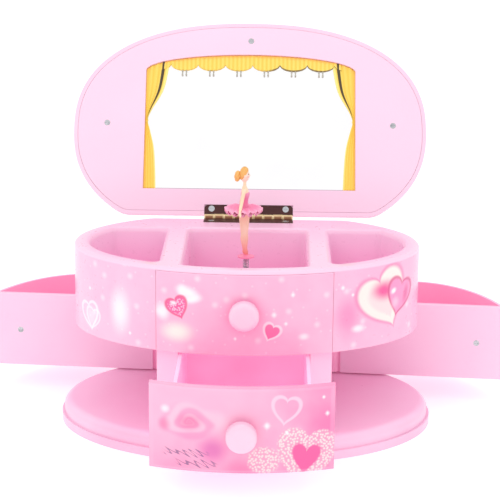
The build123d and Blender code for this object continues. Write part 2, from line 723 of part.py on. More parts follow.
# ------------------------------------------------------------------ hinge
def knuckle_spans(lid_side):
    pitch = 2 * hinge_half_length / knuckles
    for i in range(knuckles):
        if (i % 2 == 1) == lid_side:
            start = -hinge_half_length + i * pitch
            yield start + leaf_gap / 2, start + pitch - leaf_gap / 2


def hinge_leaf(lid_side):
    """One leaf of the butt hinge, drawn closed, with its share of the knuckles."""
    low = lid_z if lid_side else rim_z - leaf_thickness
    depth = lid_leaf_depth if lid_side else box_leaf_depth
    set_back = lid_screw_set_back if lid_side else box_screw_set_back
    leaf = block(-hinge_half_length, hinge_half_length, hinge_y - depth, hinge_y, low,
                 low + leaf_thickness)
    corners = leaf.edges().filter_by(Axis.Z).sort_by(Axis.Y)[:2]
    leaf = fillet(corners, leaf_corner)
    for x0, x1 in knuckle_spans(not lid_side):
        leaf -= rod(knuckle_radius + 0.3, (x0 - leaf_gap, hinge_y, hinge_z),
                    (x1 + leaf_gap, hinge_y, hinge_z))
    for x0, x1 in knuckle_spans(lid_side):
        leaf += rod(knuckle_radius, (x0, hinge_y, hinge_z), (x1, hinge_y, hinge_z))
    leaf -= rod(hinge_pin_radius + run, (-100, hinge_y, hinge_z), (100, hinge_y, hinge_z))
    way = (0, 0, 1) if lid_side else (0, 0, -1)
    top = low if lid_side else low + leaf_thickness
    for side in (-1, 1):
        place = (side * hinge_screw_x, hinge_y - set_back, top)
        leaf -= flush_hole(small_screw, way, place, leaf_thickness)
    return leaf


def hinge_screws(lid_side):
    way = (0, 0, 1) if lid_side else (0, 0, -1)
    top = lid_z if lid_side else rim_z
    y = hinge_y - (lid_screw_set_back if lid_side else box_screw_set_back)
    return [flush_screw(small_screw, way, (side * hinge_screw_x, y, top), hinge_screw_length)
            for side in (-1, 1)]


def hinge_pin():
    return rod(hinge_pin_radius, (-hinge_half_length, hinge_y, hinge_z),
               (hinge_half_length, hinge_y, hinge_z))


# ------------------------------------------------------------------ movement
def movement_frame():
    """Bedplate on the upper floor, with upright brackets for the axles."""
    frame = block(-12, governor_x + 5.3, -16, 30, cavity_z, frame_z)
    for x in (drum_start_x - bracket_thickness - 0.7, drum_start_x + drum_length + 0.8):
        frame += block(x, x + bracket_thickness, figure_y - bracket_half_width,
                       figure_y + bracket_half_width, frame_z, axle_z + 3)
        frame -= rod(drum_shaft_radius + run, (x - 1, figure_y, axle_z), (x + 2, figure_y, axle_z))
    rear = barrel_front_y + barrel_length + 0.8
    frame += block(figure_x - 4, figure_x + 4, rear, rear + bracket_thickness, frame_z, axle_z + 4)
    frame -= rod(arbor_radius + run, (figure_x, rear - 1, axle_z), (figure_x, rear + 2, axle_z))
    arm_z = axle_z - 1.4
    frame += block(governor_x - 1.2, governor_x + 5, figure_y - 2, figure_y + 2, arm_z, arm_z + 1)
    frame += block(governor_x + 4, governor_x + 5, figure_y - 2, figure_y + 2, frame_z, arm_z + 1)
    frame -= rod(governor_shaft_radius + run, (governor_x, figure_y, cavity_z),
                 (governor_x, figure_y, arm_z + 2))
    frame -= rod(spindle_radius + run, (figure_x, figure_y, cavity_z), (figure_x, figure_y, frame_z))
    for x, y in frame_screw_places:
        frame -= rod(small_screw[0], (x, y, cavity_z), (x, y, frame_z))
    return frame


def frame_screws():
    return [flush_screw(small_screw, (0, 0, 1), (x, y, ring_z), storey_plate + plate_thickness + 1.4)
            for x, y in frame_screw_places]


def spring_barrel():
    """Drum that holds the mainspring, with a crown of pins on its front that drives both pinions."""
    start, end = barrel_front_y, barrel_front_y + barrel_length
    barrel = rod(barrel_radius, (figure_x, crown_y, axle_z), (figure_x, start, axle_z))
    barrel += rod(barrel_radius, (figure_x, start, axle_z), (figure_x, end, axle_z))
    barrel -= rod(barrel_radius - barrel_wall, (figure_x, start + 0.8, axle_z), (figure_x, end - 0.8, axle_z))
    for i in range(crown_pins):
        angle = 2 * math.pi * i / crown_pins
        x = figure_x + crown_pitch_radius * math.sin(angle)
        z = axle_z + crown_pitch_radius * math.cos(angle)
        barrel += rod(crown_pin_radius, (x, crown_y - crown_pin_length, z), (x, crown_y, z))
    return barrel - rod(arbor_radius + run, (figure_x, 0, axle_z), (figure_x, 60, axle_z))


def mainspring():
    """Flat strip wound in a spiral inside the barrel."""
    inner, outer = arbor_radius + 0.7, barrel_radius - barrel_wall - 0.3 - mainspring_strip
    steps = 24 * mainspring_turns
    edge, back = [], []
    for i in range(steps + 1):
        angle = 2 * math.pi * i / 24
        radius = inner + (outer - inner) * i / steps
        edge.append((radius * math.cos(angle), radius * math.sin(angle)))
        wide = radius + mainspring_strip
        back.append((wide * math.cos(angle), wide * math.sin(angle)))
    strip_face = make_face(Polyline(*edge, *reversed(back), close=True))
    start = barrel_front_y + 1.4
    place = Plane(origin=(figure_x, start, axle_z), z_dir=(0, 1, 0))
    return extrude(place * strip_face, amount=barrel_length - 2.8)


def winding_arbor():
    return rod(arbor_radius, (figure_x, crown_y + 0.4, axle_z),
               (figure_x, body_rear_y + bush_flange + key_hub_length, axle_z))


def key_bush():
    """Flanged bush in the rear wall that the arbor turns in."""
    bush = rod(key_bush_radius, (figure_x, body_rear_y - skin, axle_z), (figure_x, body_rear_y, axle_z))
    bush += rod(key_bush_radius + 1.4, (figure_x, body_rear_y, axle_z),
                (figure_x, body_rear_y + bush_flange, axle_z))
    return bush - rod(arbor_radius + run, (figure_x, 0, axle_z), (figure_x, 80, axle_z))


def winding_key():
    """Butterfly key on the end of the arbor."""
    start = body_rear_y + bush_flange + 0.4
    key = rod(key_hub_radius, (figure_x, start, axle_z), (figure_x, start + key_hub_length, axle_z))
    wing_y = start + key_hub_length + key_lobe_radius - 1.2
    wings = block(figure_x - 7.4, figure_x + 7.4, wing_y - key_lobe_radius, wing_y - 1.0,
                  axle_z - key_thickness / 2, axle_z + key_thickness / 2)
    for side in (-1, 1):
        x = figure_x + side * 7.0
        ring = rod(key_lobe_radius, (x, wing_y, axle_z - key_thickness / 2),
                   (x, wing_y, axle_z + key_thickness / 2))
        wings += ring
    for side in (-1, 1):
        x = figure_x + side * 7.0
        wings -= rod(key_hole_radius, (x, wing_y, axle_z - 5), (x, wing_y, axle_z + 5))
    key += wings
    return key - rod(arbor_radius, (figure_x, 0, axle_z),
                     (figure_x, body_rear_y + bush_flange + key_hub_length, axle_z))


def spindle():
    """Upright shaft with the pinion that the crown drives; the figure's spring sits on its top."""
    shaft = rod(spindle_radius, (figure_x, figure_y, cavity_z), (figure_x, figure_y, spindle_top_z))
    z = axle_z + crown_pitch_radius - pinion_width / 2
    face = toothed_face(pinion_teeth, pinion_root, pinion_tip, pinion_foot, pinion_crest,
                        90 + 180 / pinion_teeth)
    return shaft + slab(Pos(figure_x, figure_y) * face, z, z + pinion_width)


def spindle_bush():
    bush = rod(spindle_bush_radius, (figure_x, figure_y, floor_z - skin), (figure_x, figure_y, floor_z))
    bush += rod(spindle_bush_radius + 1.4, (figure_x, figure_y, floor_z),
                (figure_x, figure_y, floor_z + bush_flange))
    return bush - rod(spindle_radius + run, (figure_x, figure_y, 0), (figure_x, figure_y, 200))


def music_cylinder():
    """Pinned drum on its shaft, with the pinion at one end and the governor's pin wheel at the other."""
    face = toothed_face(pinion_teeth, pinion_root, pinion_tip, pinion_foot, pinion_crest, 0)
    start_x = figure_x + crown_pitch_radius - pinion_width / 2
    place = Plane(origin=(start_x, figure_y, axle_z), x_dir=(0, 1, 0), z_dir=(1, 0, 0))
    cylinder = extrude(place * face, amount=pinion_width)
    cylinder += rod(drum_shaft_radius, (start_x, figure_y, axle_z), (wheel_x, figure_y, axle_z))
    cylinder += rod(drum_radius, (drum_start_x, figure_y, axle_z),
                    (drum_start_x + drum_length, figure_y, axle_z))
    for row in range(drum_rows):
        x = drum_start_x + (row + 0.5) * drum_length / drum_rows
        for i in range(drum_pins_per_row):
            angle = 2 * math.pi * (i + 0.37 * row + 0.21 * ((i * row) % 3)) / drum_pins_per_row
            foot = drum_radius - 0.3
            tip = drum_radius + drum_pin_length
            cylinder += rod(drum_pin_radius,
                            (x, figure_y + foot * math.cos(angle), axle_z + foot * math.sin(angle)),
                            (x, figure_y + tip * math.cos(angle), axle_z + tip * math.sin(angle)))
    cylinder += rod(wheel_pitch_radius + 0.7, (wheel_x - 1.0, figure_y, axle_z), (wheel_x, figure_y, axle_z))
    for i in range(wheel_pins):
        angle = 2 * math.pi * i / wheel_pins
        y = figure_y + wheel_pitch_radius * math.sin(angle)
        z = axle_z + wheel_pitch_radius * math.cos(angle)
        cylinder += rod(wheel_pin_radius, (wheel_x, y, z), (wheel_x + wheel_pin_length, y, z))
    return cylinder


def comb():
    """Steel comb: one tooth for each row of pins."""
    tip_y = figure_y - drum_radius - drum_pin_length - 0.35
    root_y = tip_y - comb_tooth_length
    x1 = drum_start_x + drum_length
    plate = block(drum_start_x, x1, root_y - comb_root_length, tip_y, axle_z - comb_thickness / 2,
                  axle_z + comb_thickness / 2)
    pitch = drum_length / comb_teeth
    for i in range(1, comb_teeth):
        x = drum_start_x + i * pitch
        plate -= block(x - 0.15, x + 0.15, root_y, tip_y + 1, axle_z - 1, axle_z + 1)
    for x, y in comb_screw_places():
        plate -= rod(small_screw[0], (x, y, axle_z - 1), (x, y, axle_z + 1))
    return plate


def comb_screw_places():
    y = figure_y - drum_radius - drum_pin_length - 0.35 - comb_tooth_length - comb_root_length / 2
    return [(drum_start_x + 3.0, y), (drum_start_x + drum_length - 3.0, y)]


def comb_block():
    """Block that carries the comb at the height of the drum's axle."""
    y = comb_screw_places()[0][1]
    half = comb_root_length / 2 - 0.5
    block_solid = block(drum_start_x, drum_start_x + drum_length, y - half, y + half, frame_z,
                        axle_z - comb_thickness / 2)
    for x, place_y in comb_screw_places():
        block_solid -= rod(small_screw[0], (x, place_y, frame_z + 1), (x, place_y, axle_z))
    return block_solid


def comb_screws():
    thread, _, head, height = small_screw
    return [pan_screw((thread, 4.5, head, height), (0, 0, -1), (x, y, axle_z + comb_thickness / 2))
            for x, y in comb_screw_places()]


def governor():
    """Air-brake fan on an upright shaft, turned by the drum's pin wheel."""
    face = toothed_face(governor_teeth, governor_root, governor_tip, governor_foot, governor_crest,
                        180 / governor_teeth)
    z = axle_z + wheel_pitch_radius - governor_pinion_width / 2
    place = Pos(governor_x, figure_y)
    fan_z = z + governor_pinion_width + 0.9
    wheel = slab(place * face, z, z + governor_pinion_width)
    wheel += rod(governor_shaft_radius, (governor_x, figure_y, cavity_z),
                 (governor_x, figure_y, fan_z + fan_height))
    half = fan_thickness / 2
    return wheel + block(governor_x - fan_radius, governor_x + fan_radius, figure_y - half, figure_y + half,
                         fan_z, fan_z + fan_height)


# ------------------------------------------------------------------ dancing figure
def figure_spring():
    """Coil spring that lets the figure fold forward under the lid."""
    height = feet_z - spring_wire - spring_start_z
    pitch = height / spring_turns
    path = Pos(figure_x, figure_y, spring_start_z) * Helix(pitch, height, spring_radius - spring_wire)
    profile = Plane(origin=path @ 0, z_dir=path % 0) * Circle(spring_wire)
    return sweep(profile, path=path, is_frenet=True)


def figure_foot():
    """Small flared disc that the toes stand on, with a plug down into the spring."""
    disc = turned([(disc_radius, 0), (disc_radius, 0.5), (1.6, disc_height)], (figure_x, figure_y, feet_z),
                  (0, 0, 1))
    plug = spring_radius - 2 * spring_wire - 0.1
    return disc + rod(plug, (figure_x, figure_y, feet_z - 1.2), (figure_x, figure_y, feet_z + 0.2))


def ovoid(place, width, depth, height):
    """Ellipsoid given by its three full sizes."""
    return Pos(*place) * scale(Sphere(1.0), by=(width / 2, depth / 2, height / 2))


def figure_head():
    return (figure_x - 1.0, figure_y, head_z)


def figure_body():
    """Legs together on the toes, slim trunk, arms hanging and a head in profile."""
    toe = (figure_x, figure_y, feet_z + disc_height + seat_gap)
    knee = (figure_x - 0.5, figure_y, (feet_z + hip_z) / 2)
    hip = (figure_x - 0.9, figure_y, hip_z)
    waist = (figure_x - 0.9, figure_y, waist_z)
    chest = (figure_x - 0.9, figure_y, shoulder_z - 1.8)
    body = rod(1.1, toe, knee, 1.9) + Pos(*knee) * Sphere(1.92) + rod(1.9, knee, hip, 2.4)
    body += Pos(*hip) * Sphere(2.45) + rod(2.4, hip, waist, 1.6) + Pos(*waist) * Sphere(1.62)
    body += rod(1.6, waist, chest, 2.1) + Pos(*chest) * Sphere(2.15)
    body += rod(0.9, chest, figure_head())
    body += ovoid(figure_head(), head_width, head_width, head_height)
    for side in (-1, 1):
        shoulder = (chest[0] - 0.8, figure_y + side * 2.2, shoulder_z - 1.4)
        hand = (chest[0] - 2.0, figure_y + side * 3.6, shoulder_z - arm_reach + 1.4)
        body += Pos(*shoulder) * Sphere(0.95) + rod(0.9, shoulder, hand, 0.55)
    return body


def figure_tutu():
    """Flat round skirt about the hips, open in the middle for the trunk."""
    centre = (figure_x + tutu_offset_x, figure_y, tutu_z - tutu_thickness / 2)
    skirt = turned([(tutu_radius, 0.0), (tutu_radius, 0.6), (2.9, tutu_thickness)], centre, (0, 0, 1))
    return skirt - figure_body()


def figure_hair():
    """Cap of hair with a bun at the back of the head."""
    head = figure_head()
    wide = head_width + 2 * hair_thickness
    cap = ovoid(head, wide, wide, head_height + 2 * hair_thickness)
    cap -= Pos(head[0] + 3.2, head[1], head[2] - 3.4) * Sphere(4.6)
    bun = ovoid((head[0] - head_width / 2 - 0.9, head[1], head[2] - 0.6), bun_width, bun_width, bun_height)
    return cap + bun - figure_body()


# ------------------------------------------------------------------ assembly
def write(name, shape):
    """One STEP per sub-part; a list is a group of separate solids."""
    if isinstance(shape, list):
        shape = Compound(children=shape)
    export_step(shape, f"parts/{name}.step")


def main():
    os.makedirs("parts", exist_ok=True)
    drawer_knob_y = front_y - drawer_open
    nodes = {
        "base_shell": base_shell(),
        "base_cover": base_cover(),
        "base_cover_screws": base_cover_screws(),
        "lower_housing": lower_housing(),
        "base_screws": base_screws(),
        "storey_screws": storey_screws(),
        "upper_tray": upper_tray(),
        "upper_floor": upper_floor(),
        "upper_front_panel": upper_front_panel(),
        "upper_knob": knob(front_y, upper_knob_z),
        "upper_knob_screw": knob_screw(front_y + false_front_thickness + seat_gap, upper_knob_z),
        "drawer_bin": drawer_bin(),
        "drawer_front": drawer_front(),
        "drawer_screws": drawer_screws(),
        "drawer_knob": knob(drawer_knob_y, drawer_knob_z),
        "drawer_knob_screw": knob_screw(drawer_knob_y + drawer_panel_thickness + seat_gap, drawer_knob_z),
        "left_pivot_pin": pivot_pin(-1),
        "right_pivot_pin": pivot_pin(1),
        "lid_shell": lid_pose(lid_shell()),
        "lid_liner": lid_pose(lid_liner()),
        "lid_screws": [lid_pose(screw) for screw in lid_screws()],
        "hinge_pad": lid_pose(hinge_pad()),
        "mirror_glass": lid_pose(mirror_glass()),
        "mirror_backing": lid_pose(mirror_backing()),
        "curtain_print": lid_pose(curtain_print()),
        "hinge_leaf_box": hinge_leaf(False),
        "hinge_leaf_lid": lid_pose(hinge_leaf(True)),
        "hinge_pin": hinge_pin(),
        "hinge_screws_box": hinge_screws(False),
        "hinge_screws_lid": [lid_pose(screw) for screw in hinge_screws(True)],
        "movement_frame": movement_frame(),
        "frame_screws": frame_screws(),
        "spring_barrel": spring_barrel(),
        "mainspring": mainspring(),
        "winding_arbor": winding_arbor(),
        "key_bush": key_bush(),
        "winding_key": winding_key(),
        "spindle": spindle(),
        "spindle_bush": spindle_bush(),
        "music_cylinder": music_cylinder(),
        "comb": comb(),
        "comb_block": comb_block(),
        "comb_screws": comb_screws(),
        "governor": governor(),
        "figure_spring": figure_spring(),
        "figure_foot": figure_foot(),
        "figure_body": figure_body(),
        "figure_tutu": figure_tutu(),
        "figure_hair": figure_hair(),
    }
    for name, pose in (("left", on_left), ("right", on_right)):
        nodes[f"{name}_tray_bin"] = pose(tray_bin())
        nodes[f"{name}_tray_panel"] = pose(tray_panel())
        nodes[f"{name}_tray_screw"] = pose(tray_screw())
    for name, shape in nodes.items():
        write(name, shape)


main()
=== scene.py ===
import json
import math

import bmesh
import bpy
import numpy as np
from mathutils import Matrix, Vector


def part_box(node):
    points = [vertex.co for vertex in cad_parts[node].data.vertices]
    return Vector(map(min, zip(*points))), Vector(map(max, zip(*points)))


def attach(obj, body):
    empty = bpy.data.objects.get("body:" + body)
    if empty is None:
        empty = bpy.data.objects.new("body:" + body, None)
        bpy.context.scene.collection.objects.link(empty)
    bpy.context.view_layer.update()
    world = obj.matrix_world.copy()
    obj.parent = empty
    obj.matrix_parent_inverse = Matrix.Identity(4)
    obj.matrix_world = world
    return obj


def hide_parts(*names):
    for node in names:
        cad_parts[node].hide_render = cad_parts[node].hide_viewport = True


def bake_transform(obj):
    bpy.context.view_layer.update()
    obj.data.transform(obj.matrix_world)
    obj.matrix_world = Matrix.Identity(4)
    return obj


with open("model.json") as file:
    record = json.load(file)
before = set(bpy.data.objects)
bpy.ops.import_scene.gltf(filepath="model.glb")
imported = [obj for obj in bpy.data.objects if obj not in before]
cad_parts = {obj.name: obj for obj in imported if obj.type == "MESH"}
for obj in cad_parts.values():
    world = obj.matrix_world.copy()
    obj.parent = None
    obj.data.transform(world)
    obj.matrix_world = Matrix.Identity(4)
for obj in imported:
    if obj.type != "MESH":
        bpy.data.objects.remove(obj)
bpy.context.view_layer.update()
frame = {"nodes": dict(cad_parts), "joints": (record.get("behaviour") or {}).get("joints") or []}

MM = 0.001

# -------- the box, from the frame (millimetres)
ring_low, ring_high = (np.array(c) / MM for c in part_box("upper_tray"))
base_high = np.array(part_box("base_shell")[1]) / MM
front_low, front_high = (np.array(c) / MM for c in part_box("drawer_front"))
leaf_low, leaf_high = (np.array(c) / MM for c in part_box("hinge_leaf_box"))
joint_place = {joint["name"]: np.array(joint.get("pos_m", (0, 0, 0))) / MM for joint in frame["joints"]}
hinge_line = joint_place["lid_hinge"]
fold_place = joint_place["figure_fold"]
lid_open = math.radians(next(j["range_deg"][1] for j in frame["joints"] if j["name"] == "lid_hinge"))

rim_z = ring_high[2]
ring_half_width, ring_half_depth = ring_high[0], 59.8
ring_centre_y = ring_low[1] + ring_half_depth
drawer_out = front_low[1] - ring_low[1]
pocket_depth = 25.5
lid_rear_y, lid_z = hinge_line[1] - 1.5, hinge_line[2] + 0.15
glass_z = lid_z + 2.0
window_half_width, window_foot, window_side, window_arch = 60.5, 15.0, 85.5, 10.0
knuckle_count, knuckle_radius = 9, 1.8
feet_z = fold_place[2] + 1.7
figure_x, figure_y = fold_place[0], fold_place[1]
spring_start_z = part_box("figure_spring")[0][2] / MM

# curtains and doll: tie_height and top_gap are measured up the lid's window
tie_height, top_gap = 56.0, 0.15
scallop_pitch, scallop_x, scallop_cusp, scallop_drop = 15.8, 1.05 - 3 * 15.8, 90.0, 4.0
head_half, head_tall = 2.45, 4.1
head_place = np.array((figure_x - 1.0, figure_y, feet_z + 45.4))
skirt_x = figure_x - 1.5


# -------- camera
def make_camera():
    """Long-lens camera a little right of centre, looking slightly down at the open box."""
    azimuth, elevation, roll = math.radians(0.854), math.radians(14.2), math.radians(0.51)
    target, distance = np.array([1.65, 0.0, 113.43]) * MM, 0.8593
    back = np.array([math.sin(azimuth) * math.cos(elevation),
                     -math.cos(azimuth) * math.cos(elevation), math.sin(elevation)])
    level = np.array([math.cos(azimuth), math.sin(azimuth), 0.0])
    rise = np.cross(back, level)
    right = level * math.cos(roll) + rise * math.sin(roll)
    up = -level * math.sin(roll) + rise * math.cos(roll)
    data = bpy.data.cameras.new("camera")
    data.lens, data.sensor_width = 115.98, 36.0
    data.shift_y = -0.0618
    data.clip_end = 20.0
    camera = bpy.data.objects.new("camera", data)
    place = Matrix.Identity(4)
    for row in range(3):
        place[row][0], place[row][1], place[row][2] = right[row], up[row], back[row]
        place[row][3] = target[row] + distance * back[row]
    camera.matrix_world = place
    bpy.context.collection.objects.link(camera)
    bpy.context.scene.camera = camera


# -------- stage
def make_stage():
    """White floor, a white surround and broad soft lights."""
    span = 6.0
    points = [(-span, -span, 0), (span, -span, 0), (span, span, 0), (-span, span, 0)]
    mesh = bpy.data.meshes.new("floor")
    mesh.from_pydata(points, [], [(0, 1, 2, 3)])
    floor = bpy.data.objects.new("floor", mesh)
    bpy.context.collection.objects.link(floor)
    paint = bpy.data.materials.new("floor_paint")
    paint.use_nodes = True
    shader = paint.node_tree.nodes["Principled BSDF"]
    shader.inputs["Base Color"].default_value = (0.9, 0.9, 0.9, 1)
    shader.inputs["Roughness"].default_value = 0.9
    shader.inputs["Specular IOR Level"].default_value = 0.1
    shader.inputs["Emission Color"].default_value = (1, 1, 1, 1)
    shader.inputs["Emission Strength"].default_value = 0.3
    mesh.materials.append(paint)
    world = bpy.data.worlds.new("surround")
    world.use_nodes = True
    world.node_tree.nodes["Background"].inputs["Color"].default_value = (1, 1, 1, 1)
    world.node_tree.nodes["Background"].inputs["Strength"].default_value = 0.95
    bpy.context.scene.world = world
    for name, place, size, power in (("key_light", (-0.7, -0.9, 1.1), 0.7, 1.5),
                                     ("fill_light", (0.9, -0.8, 0.8), 0.9, 0.6),
                                     ("top_light", (0.0, 0.2, 1.3), 0.8, 2.2)):
        light = bpy.data.lights.new(name, "AREA")
        light.energy, light.size = power, size
        lamp = bpy.data.objects.new(name, light)
        lamp.location = place
        lamp.rotation_euler = (Vector((0, 0, 0.08)) - Vector(place)).to_track_quat("-Z", "Y").to_euler()
        bpy.context.collection.objects.link(lamp)
    bpy.context.scene.view_settings.view_transform = "Standard"


# -------- meshes from arrays
def grid_faces(rows, columns, close_rows=False, close_columns=False):
    """Quads over a rows x columns grid of points, joined round where it closes."""
    r = np.arange(rows if close_rows else rows - 1)
    c = np.arange(columns if close_columns else columns - 1)
    r, c = np.meshgrid(r, c, indexing="ij")
    r1, c1 = (r + 1) % rows, (c + 1) % columns
    quads = np.stack([r * columns + c, r * columns + c1, r1 * columns + c1, r1 * columns + c], -1)
    return quads.reshape(-1, 4).tolist()


def tube_faces(rows, columns):
    """Quads round a run of rings, with a flat cap on each end."""
    caps = [list(range(columns)), [(rows - 1) * columns + i for i in range(columns)]]
    return grid_faces(rows, columns, close_columns=True) + caps


def sheet_faces(rows, columns):
    """Faces of a thin closed sheet: a front grid, a back grid after it, and the edge between them."""
    front = np.array(grid_faces(rows, columns))
    count = rows * columns
    index = np.arange(count).reshape(rows, columns)
    rim = np.concatenate([index[0, :], index[1:, -1], index[-1, -2::-1], index[-2:0:-1, 0]])
    following = np.roll(rim, -1)
    sides = np.stack([following, rim, rim + count, following + count], -1)
    return np.concatenate([front, front[:, ::-1] + count, sides]).tolist()


def ring_angles(count):
    """Even angles once round a circle."""
    return np.linspace(0, 2 * math.pi, count, endpoint=False)


def make_piece(name, points, faces, body, material, uv=None):
    """A closed mesh in the row frame, given in millimetres, that rides a body and wears a finish."""
    mesh = bpy.data.meshes.new(name)
    mesh.from_pydata((np.asarray(points).reshape(-1, 3) * MM).tolist(), [], faces)
    shape = bmesh.new()
    shape.from_mesh(mesh)
    bmesh.ops.recalc_face_normals(shape, faces=shape.faces)
    shape.to_mesh(mesh)
    shape.free()
    mesh.polygons.foreach_set("use_smooth", [True] * len(mesh.polygons))
    if uv is not None:
        layer = mesh.uv_layers.new(name="pattern")
        corners = np.empty(len(mesh.loops), dtype=np.int32)
        mesh.loops.foreach_get("vertex_index", corners)
        layer.data.foreach_set("uv", np.asarray(uv, dtype=float).reshape(-1, 2)[corners].ravel())
    mesh.materials.append(material)
    mesh.update()
    piece = bpy.data.objects.new(name, mesh)
    bpy.context.collection.objects.link(piece)
    if body:
        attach(piece, body)
    return piece


def through(keys, count):
    """Smooth run through rows of key values: a Catmull-Rom curve taken at even steps."""
    keys = np.asarray(keys, dtype=float)
    ends = np.vstack([2 * keys[0] - keys[1], keys, 2 * keys[-1] - keys[-2]])
    t = np.linspace(0, len(keys) - 1, count)
    i = np.minimum(t.astype(int), len(keys) - 2)
    f = (t - i)[:, None]
    a, b, c, d = ends[i], ends[i + 1], ends[i + 2], ends[i + 3]
    square, cube = 2 * a - 5 * b + 4 * c - d, 3 * b - a - 3 * c + d
    return 0.5 * (2 * b + (c - a) * f + square * f ** 2 + cube * f ** 3)


def open_lid(points):
    """From the closed lid to the open one: a turn about the hinge line."""
    points = np.asarray(points, dtype=float).copy()
    y, z = points[..., 1] - hinge_line[1], points[..., 2] - hinge_line[2]
    points[..., 1] = hinge_line[1] + y * math.cos(lid_open) + z * math.sin(lid_open)
    points[..., 2] = hinge_line[2] - y * math.sin(lid_open) + z * math.cos(lid_open)
    return points


# -------- node wiring
def shade(red, green, blue):
    """Linear colour from display values out of 255."""
    value = np.array([red, green, blue]) / 255
    linear = np.where(value <= 0.04045, value / 12.92, ((value + 0.055) / 1.055) ** 2.4)
    return (*linear.tolist(), 1.0)


class Wires:
    """Short calls that add nodes to one tree and join them up."""

    def __init__(self, tree):
        self.tree = tree

    def add(self, kind, values=None, **settings):
        made = self.tree.nodes.new(kind)
        for key, value in settings.items():
            setattr(made, key, value)
        for key, value in (values or {}).items():
            if isinstance(value, bpy.types.NodeSocket):
                self.tree.links.new(value, made.inputs[key])
            else:
                made.inputs[key].default_value = value
        return made

    def maths(self, operation, first, second=0.0, third=0.0):
        return self.add("ShaderNodeMath", {0: first, 1: second, 2: third}, operation=operation).outputs[0]

    def times(self, first, second):
        return self.maths("MULTIPLY", first, second)

    def plus(self, first, second):
        return self.maths("ADD", first, second)

    def minus(self, first, second):
        return self.maths("SUBTRACT", first, second)

    def linear(self, value, gain, offset):
        return self.maths("MULTIPLY_ADD", value, gain, offset)

    def larger(self, first, second):
        return self.maths("MAXIMUM", first, second)

    def length(self, first, second):
        """Root of the sum of two squares."""
        return self.maths("SQRT", self.plus(self.times(first, first), self.times(second, second)))

    def noise(self, scale, detail):
        """Noise over the object's own coordinates."""
        coordinates = self.add("ShaderNodeTexCoord").outputs["Object"]
        values = {"Vector": coordinates, "Scale": scale, "Detail": detail}
        return self.add("ShaderNodeTexNoise", values).outputs[0]

    def pattern(self):
        """The piece's own map: u and v."""
        given = self.add("ShaderNodeUVMap", uv_map="pattern").outputs[0]
        split = self.add("ShaderNodeSeparateXYZ", {0: given}).outputs
        return split[0], split[1]

    def step(self, value, low, high, top=1.0):
        """Smooth rise from 0 at low to top at high; it falls where low is the larger."""
        values = {"Value": value, "From Min": low, "From Max": high, "To Max": top}
        return self.add("ShaderNodeMapRange", values, interpolation_type="SMOOTHSTEP").outputs["Result"]

    def band(self, value, centre, half, soft):
        """1 within half of the centre value, falling to 0 over soft."""
        off = self.maths("ABSOLUTE", self.minus(value, centre))
        return self.step(off, half + soft, half)

    def mix(self, factor, first, second):
        return self.add("ShaderNodeMix", {0: factor, 6: first, 7: second}, data_type="RGBA").outputs[2]

    def paint(self, under, layers):
        """Colours laid over one another: each layer is a mask and a colour."""
        for mask, colour in layers:
            under = self.mix(mask, under, colour)
        return under

    def place(self):
        """Object coordinates in millimetres: x, y and z."""
        coordinates = self.add("ShaderNodeTexCoord").outputs["Object"]
        split = self.add("ShaderNodeSeparateXYZ", {0: coordinates}).outputs
        return [self.times(split[i], 1 / MM) for i in range(3)]

    def group(self, tree, values):
        return self.add("ShaderNodeGroup", values, node_tree=tree).outputs


def new_group(name, inputs, outputs, build):
    """A shader node group of plain values, wired by the build function."""
    tree = bpy.data.node_groups.new(name, "ShaderNodeTree")
    for label, default in inputs.items():
        socket = tree.interface.new_socket(name=label, in_out="INPUT", socket_type="NodeSocketFloat")
        socket.default_value = default
    for label in outputs:
        tree.interface.new_socket(name=label, in_out="OUTPUT", socket_type="NodeSocketFloat")
    wires = Wires(tree)
    results = build(wires, wires.add("NodeGroupInput").outputs)
    wires.add("NodeGroupOutput", dict(zip(outputs, results)))
    return tree


# -------- shared effects
def build_round_body(w, given):
    """Along: arc length round the oval from its front, 76.1 t + 8.15 sin 2t for the ellipse angle t.
    Up: height. Reach: 1 on the oval's outline, less inside it."""
    x, y, z = w.place()
    across = w.maths("DIVIDE", x, ring_half_width)
    deep = w.maths("DIVIDE", w.minus(w.minus(y, ring_centre_y), given["Shift"]),
                   -ring_half_depth)
    angle = w.maths("ARCTAN2", across, deep)
    bend = w.times(w.maths("SINE", w.times(angle, 2.0)), 8.15)
    along = w.linear(angle, 76.1, bend)
    reach = w.maths("SQRT", w.plus(w.maths("POWER", across, 2.0), w.maths("POWER", deep, 2.0)))
    return along, z, reach


def turned_offsets(w, given):
    """Offsets from the motif's centre, turned by its tilt."""
    a = w.minus(given["Along"], given["Centre Along"])
    u = w.minus(given["Up"], given["Centre Up"])
    cosine, sine = w.maths("COSINE", given["Tilt"]), w.maths("SINE", given["Tilt"])
    across = w.plus(w.times(a, cosine), w.times(u, sine))
    upright = w.minus(w.times(u, cosine), w.times(a, sine))
    return across, upright


def build_heart(w, given):
    """Distance that is 1 on a heart's outline: the root of x^2 + (y - 0.75 sqrt|x|)^2."""
    across, upright = turned_offsets(w, given)
    x = w.maths("ABSOLUTE", w.maths("DIVIDE", across, given["Half Width"]))
    y = w.linear(w.maths("DIVIDE", upright, given["Half Width"]), 1.15, 0.2)
    lift = w.times(w.maths("SQRT", x), 0.75)
    y = w.minus(y, lift)
    return [w.maths("SQRT", w.plus(w.maths("POWER", x, 2.0), w.times(y, y)))]


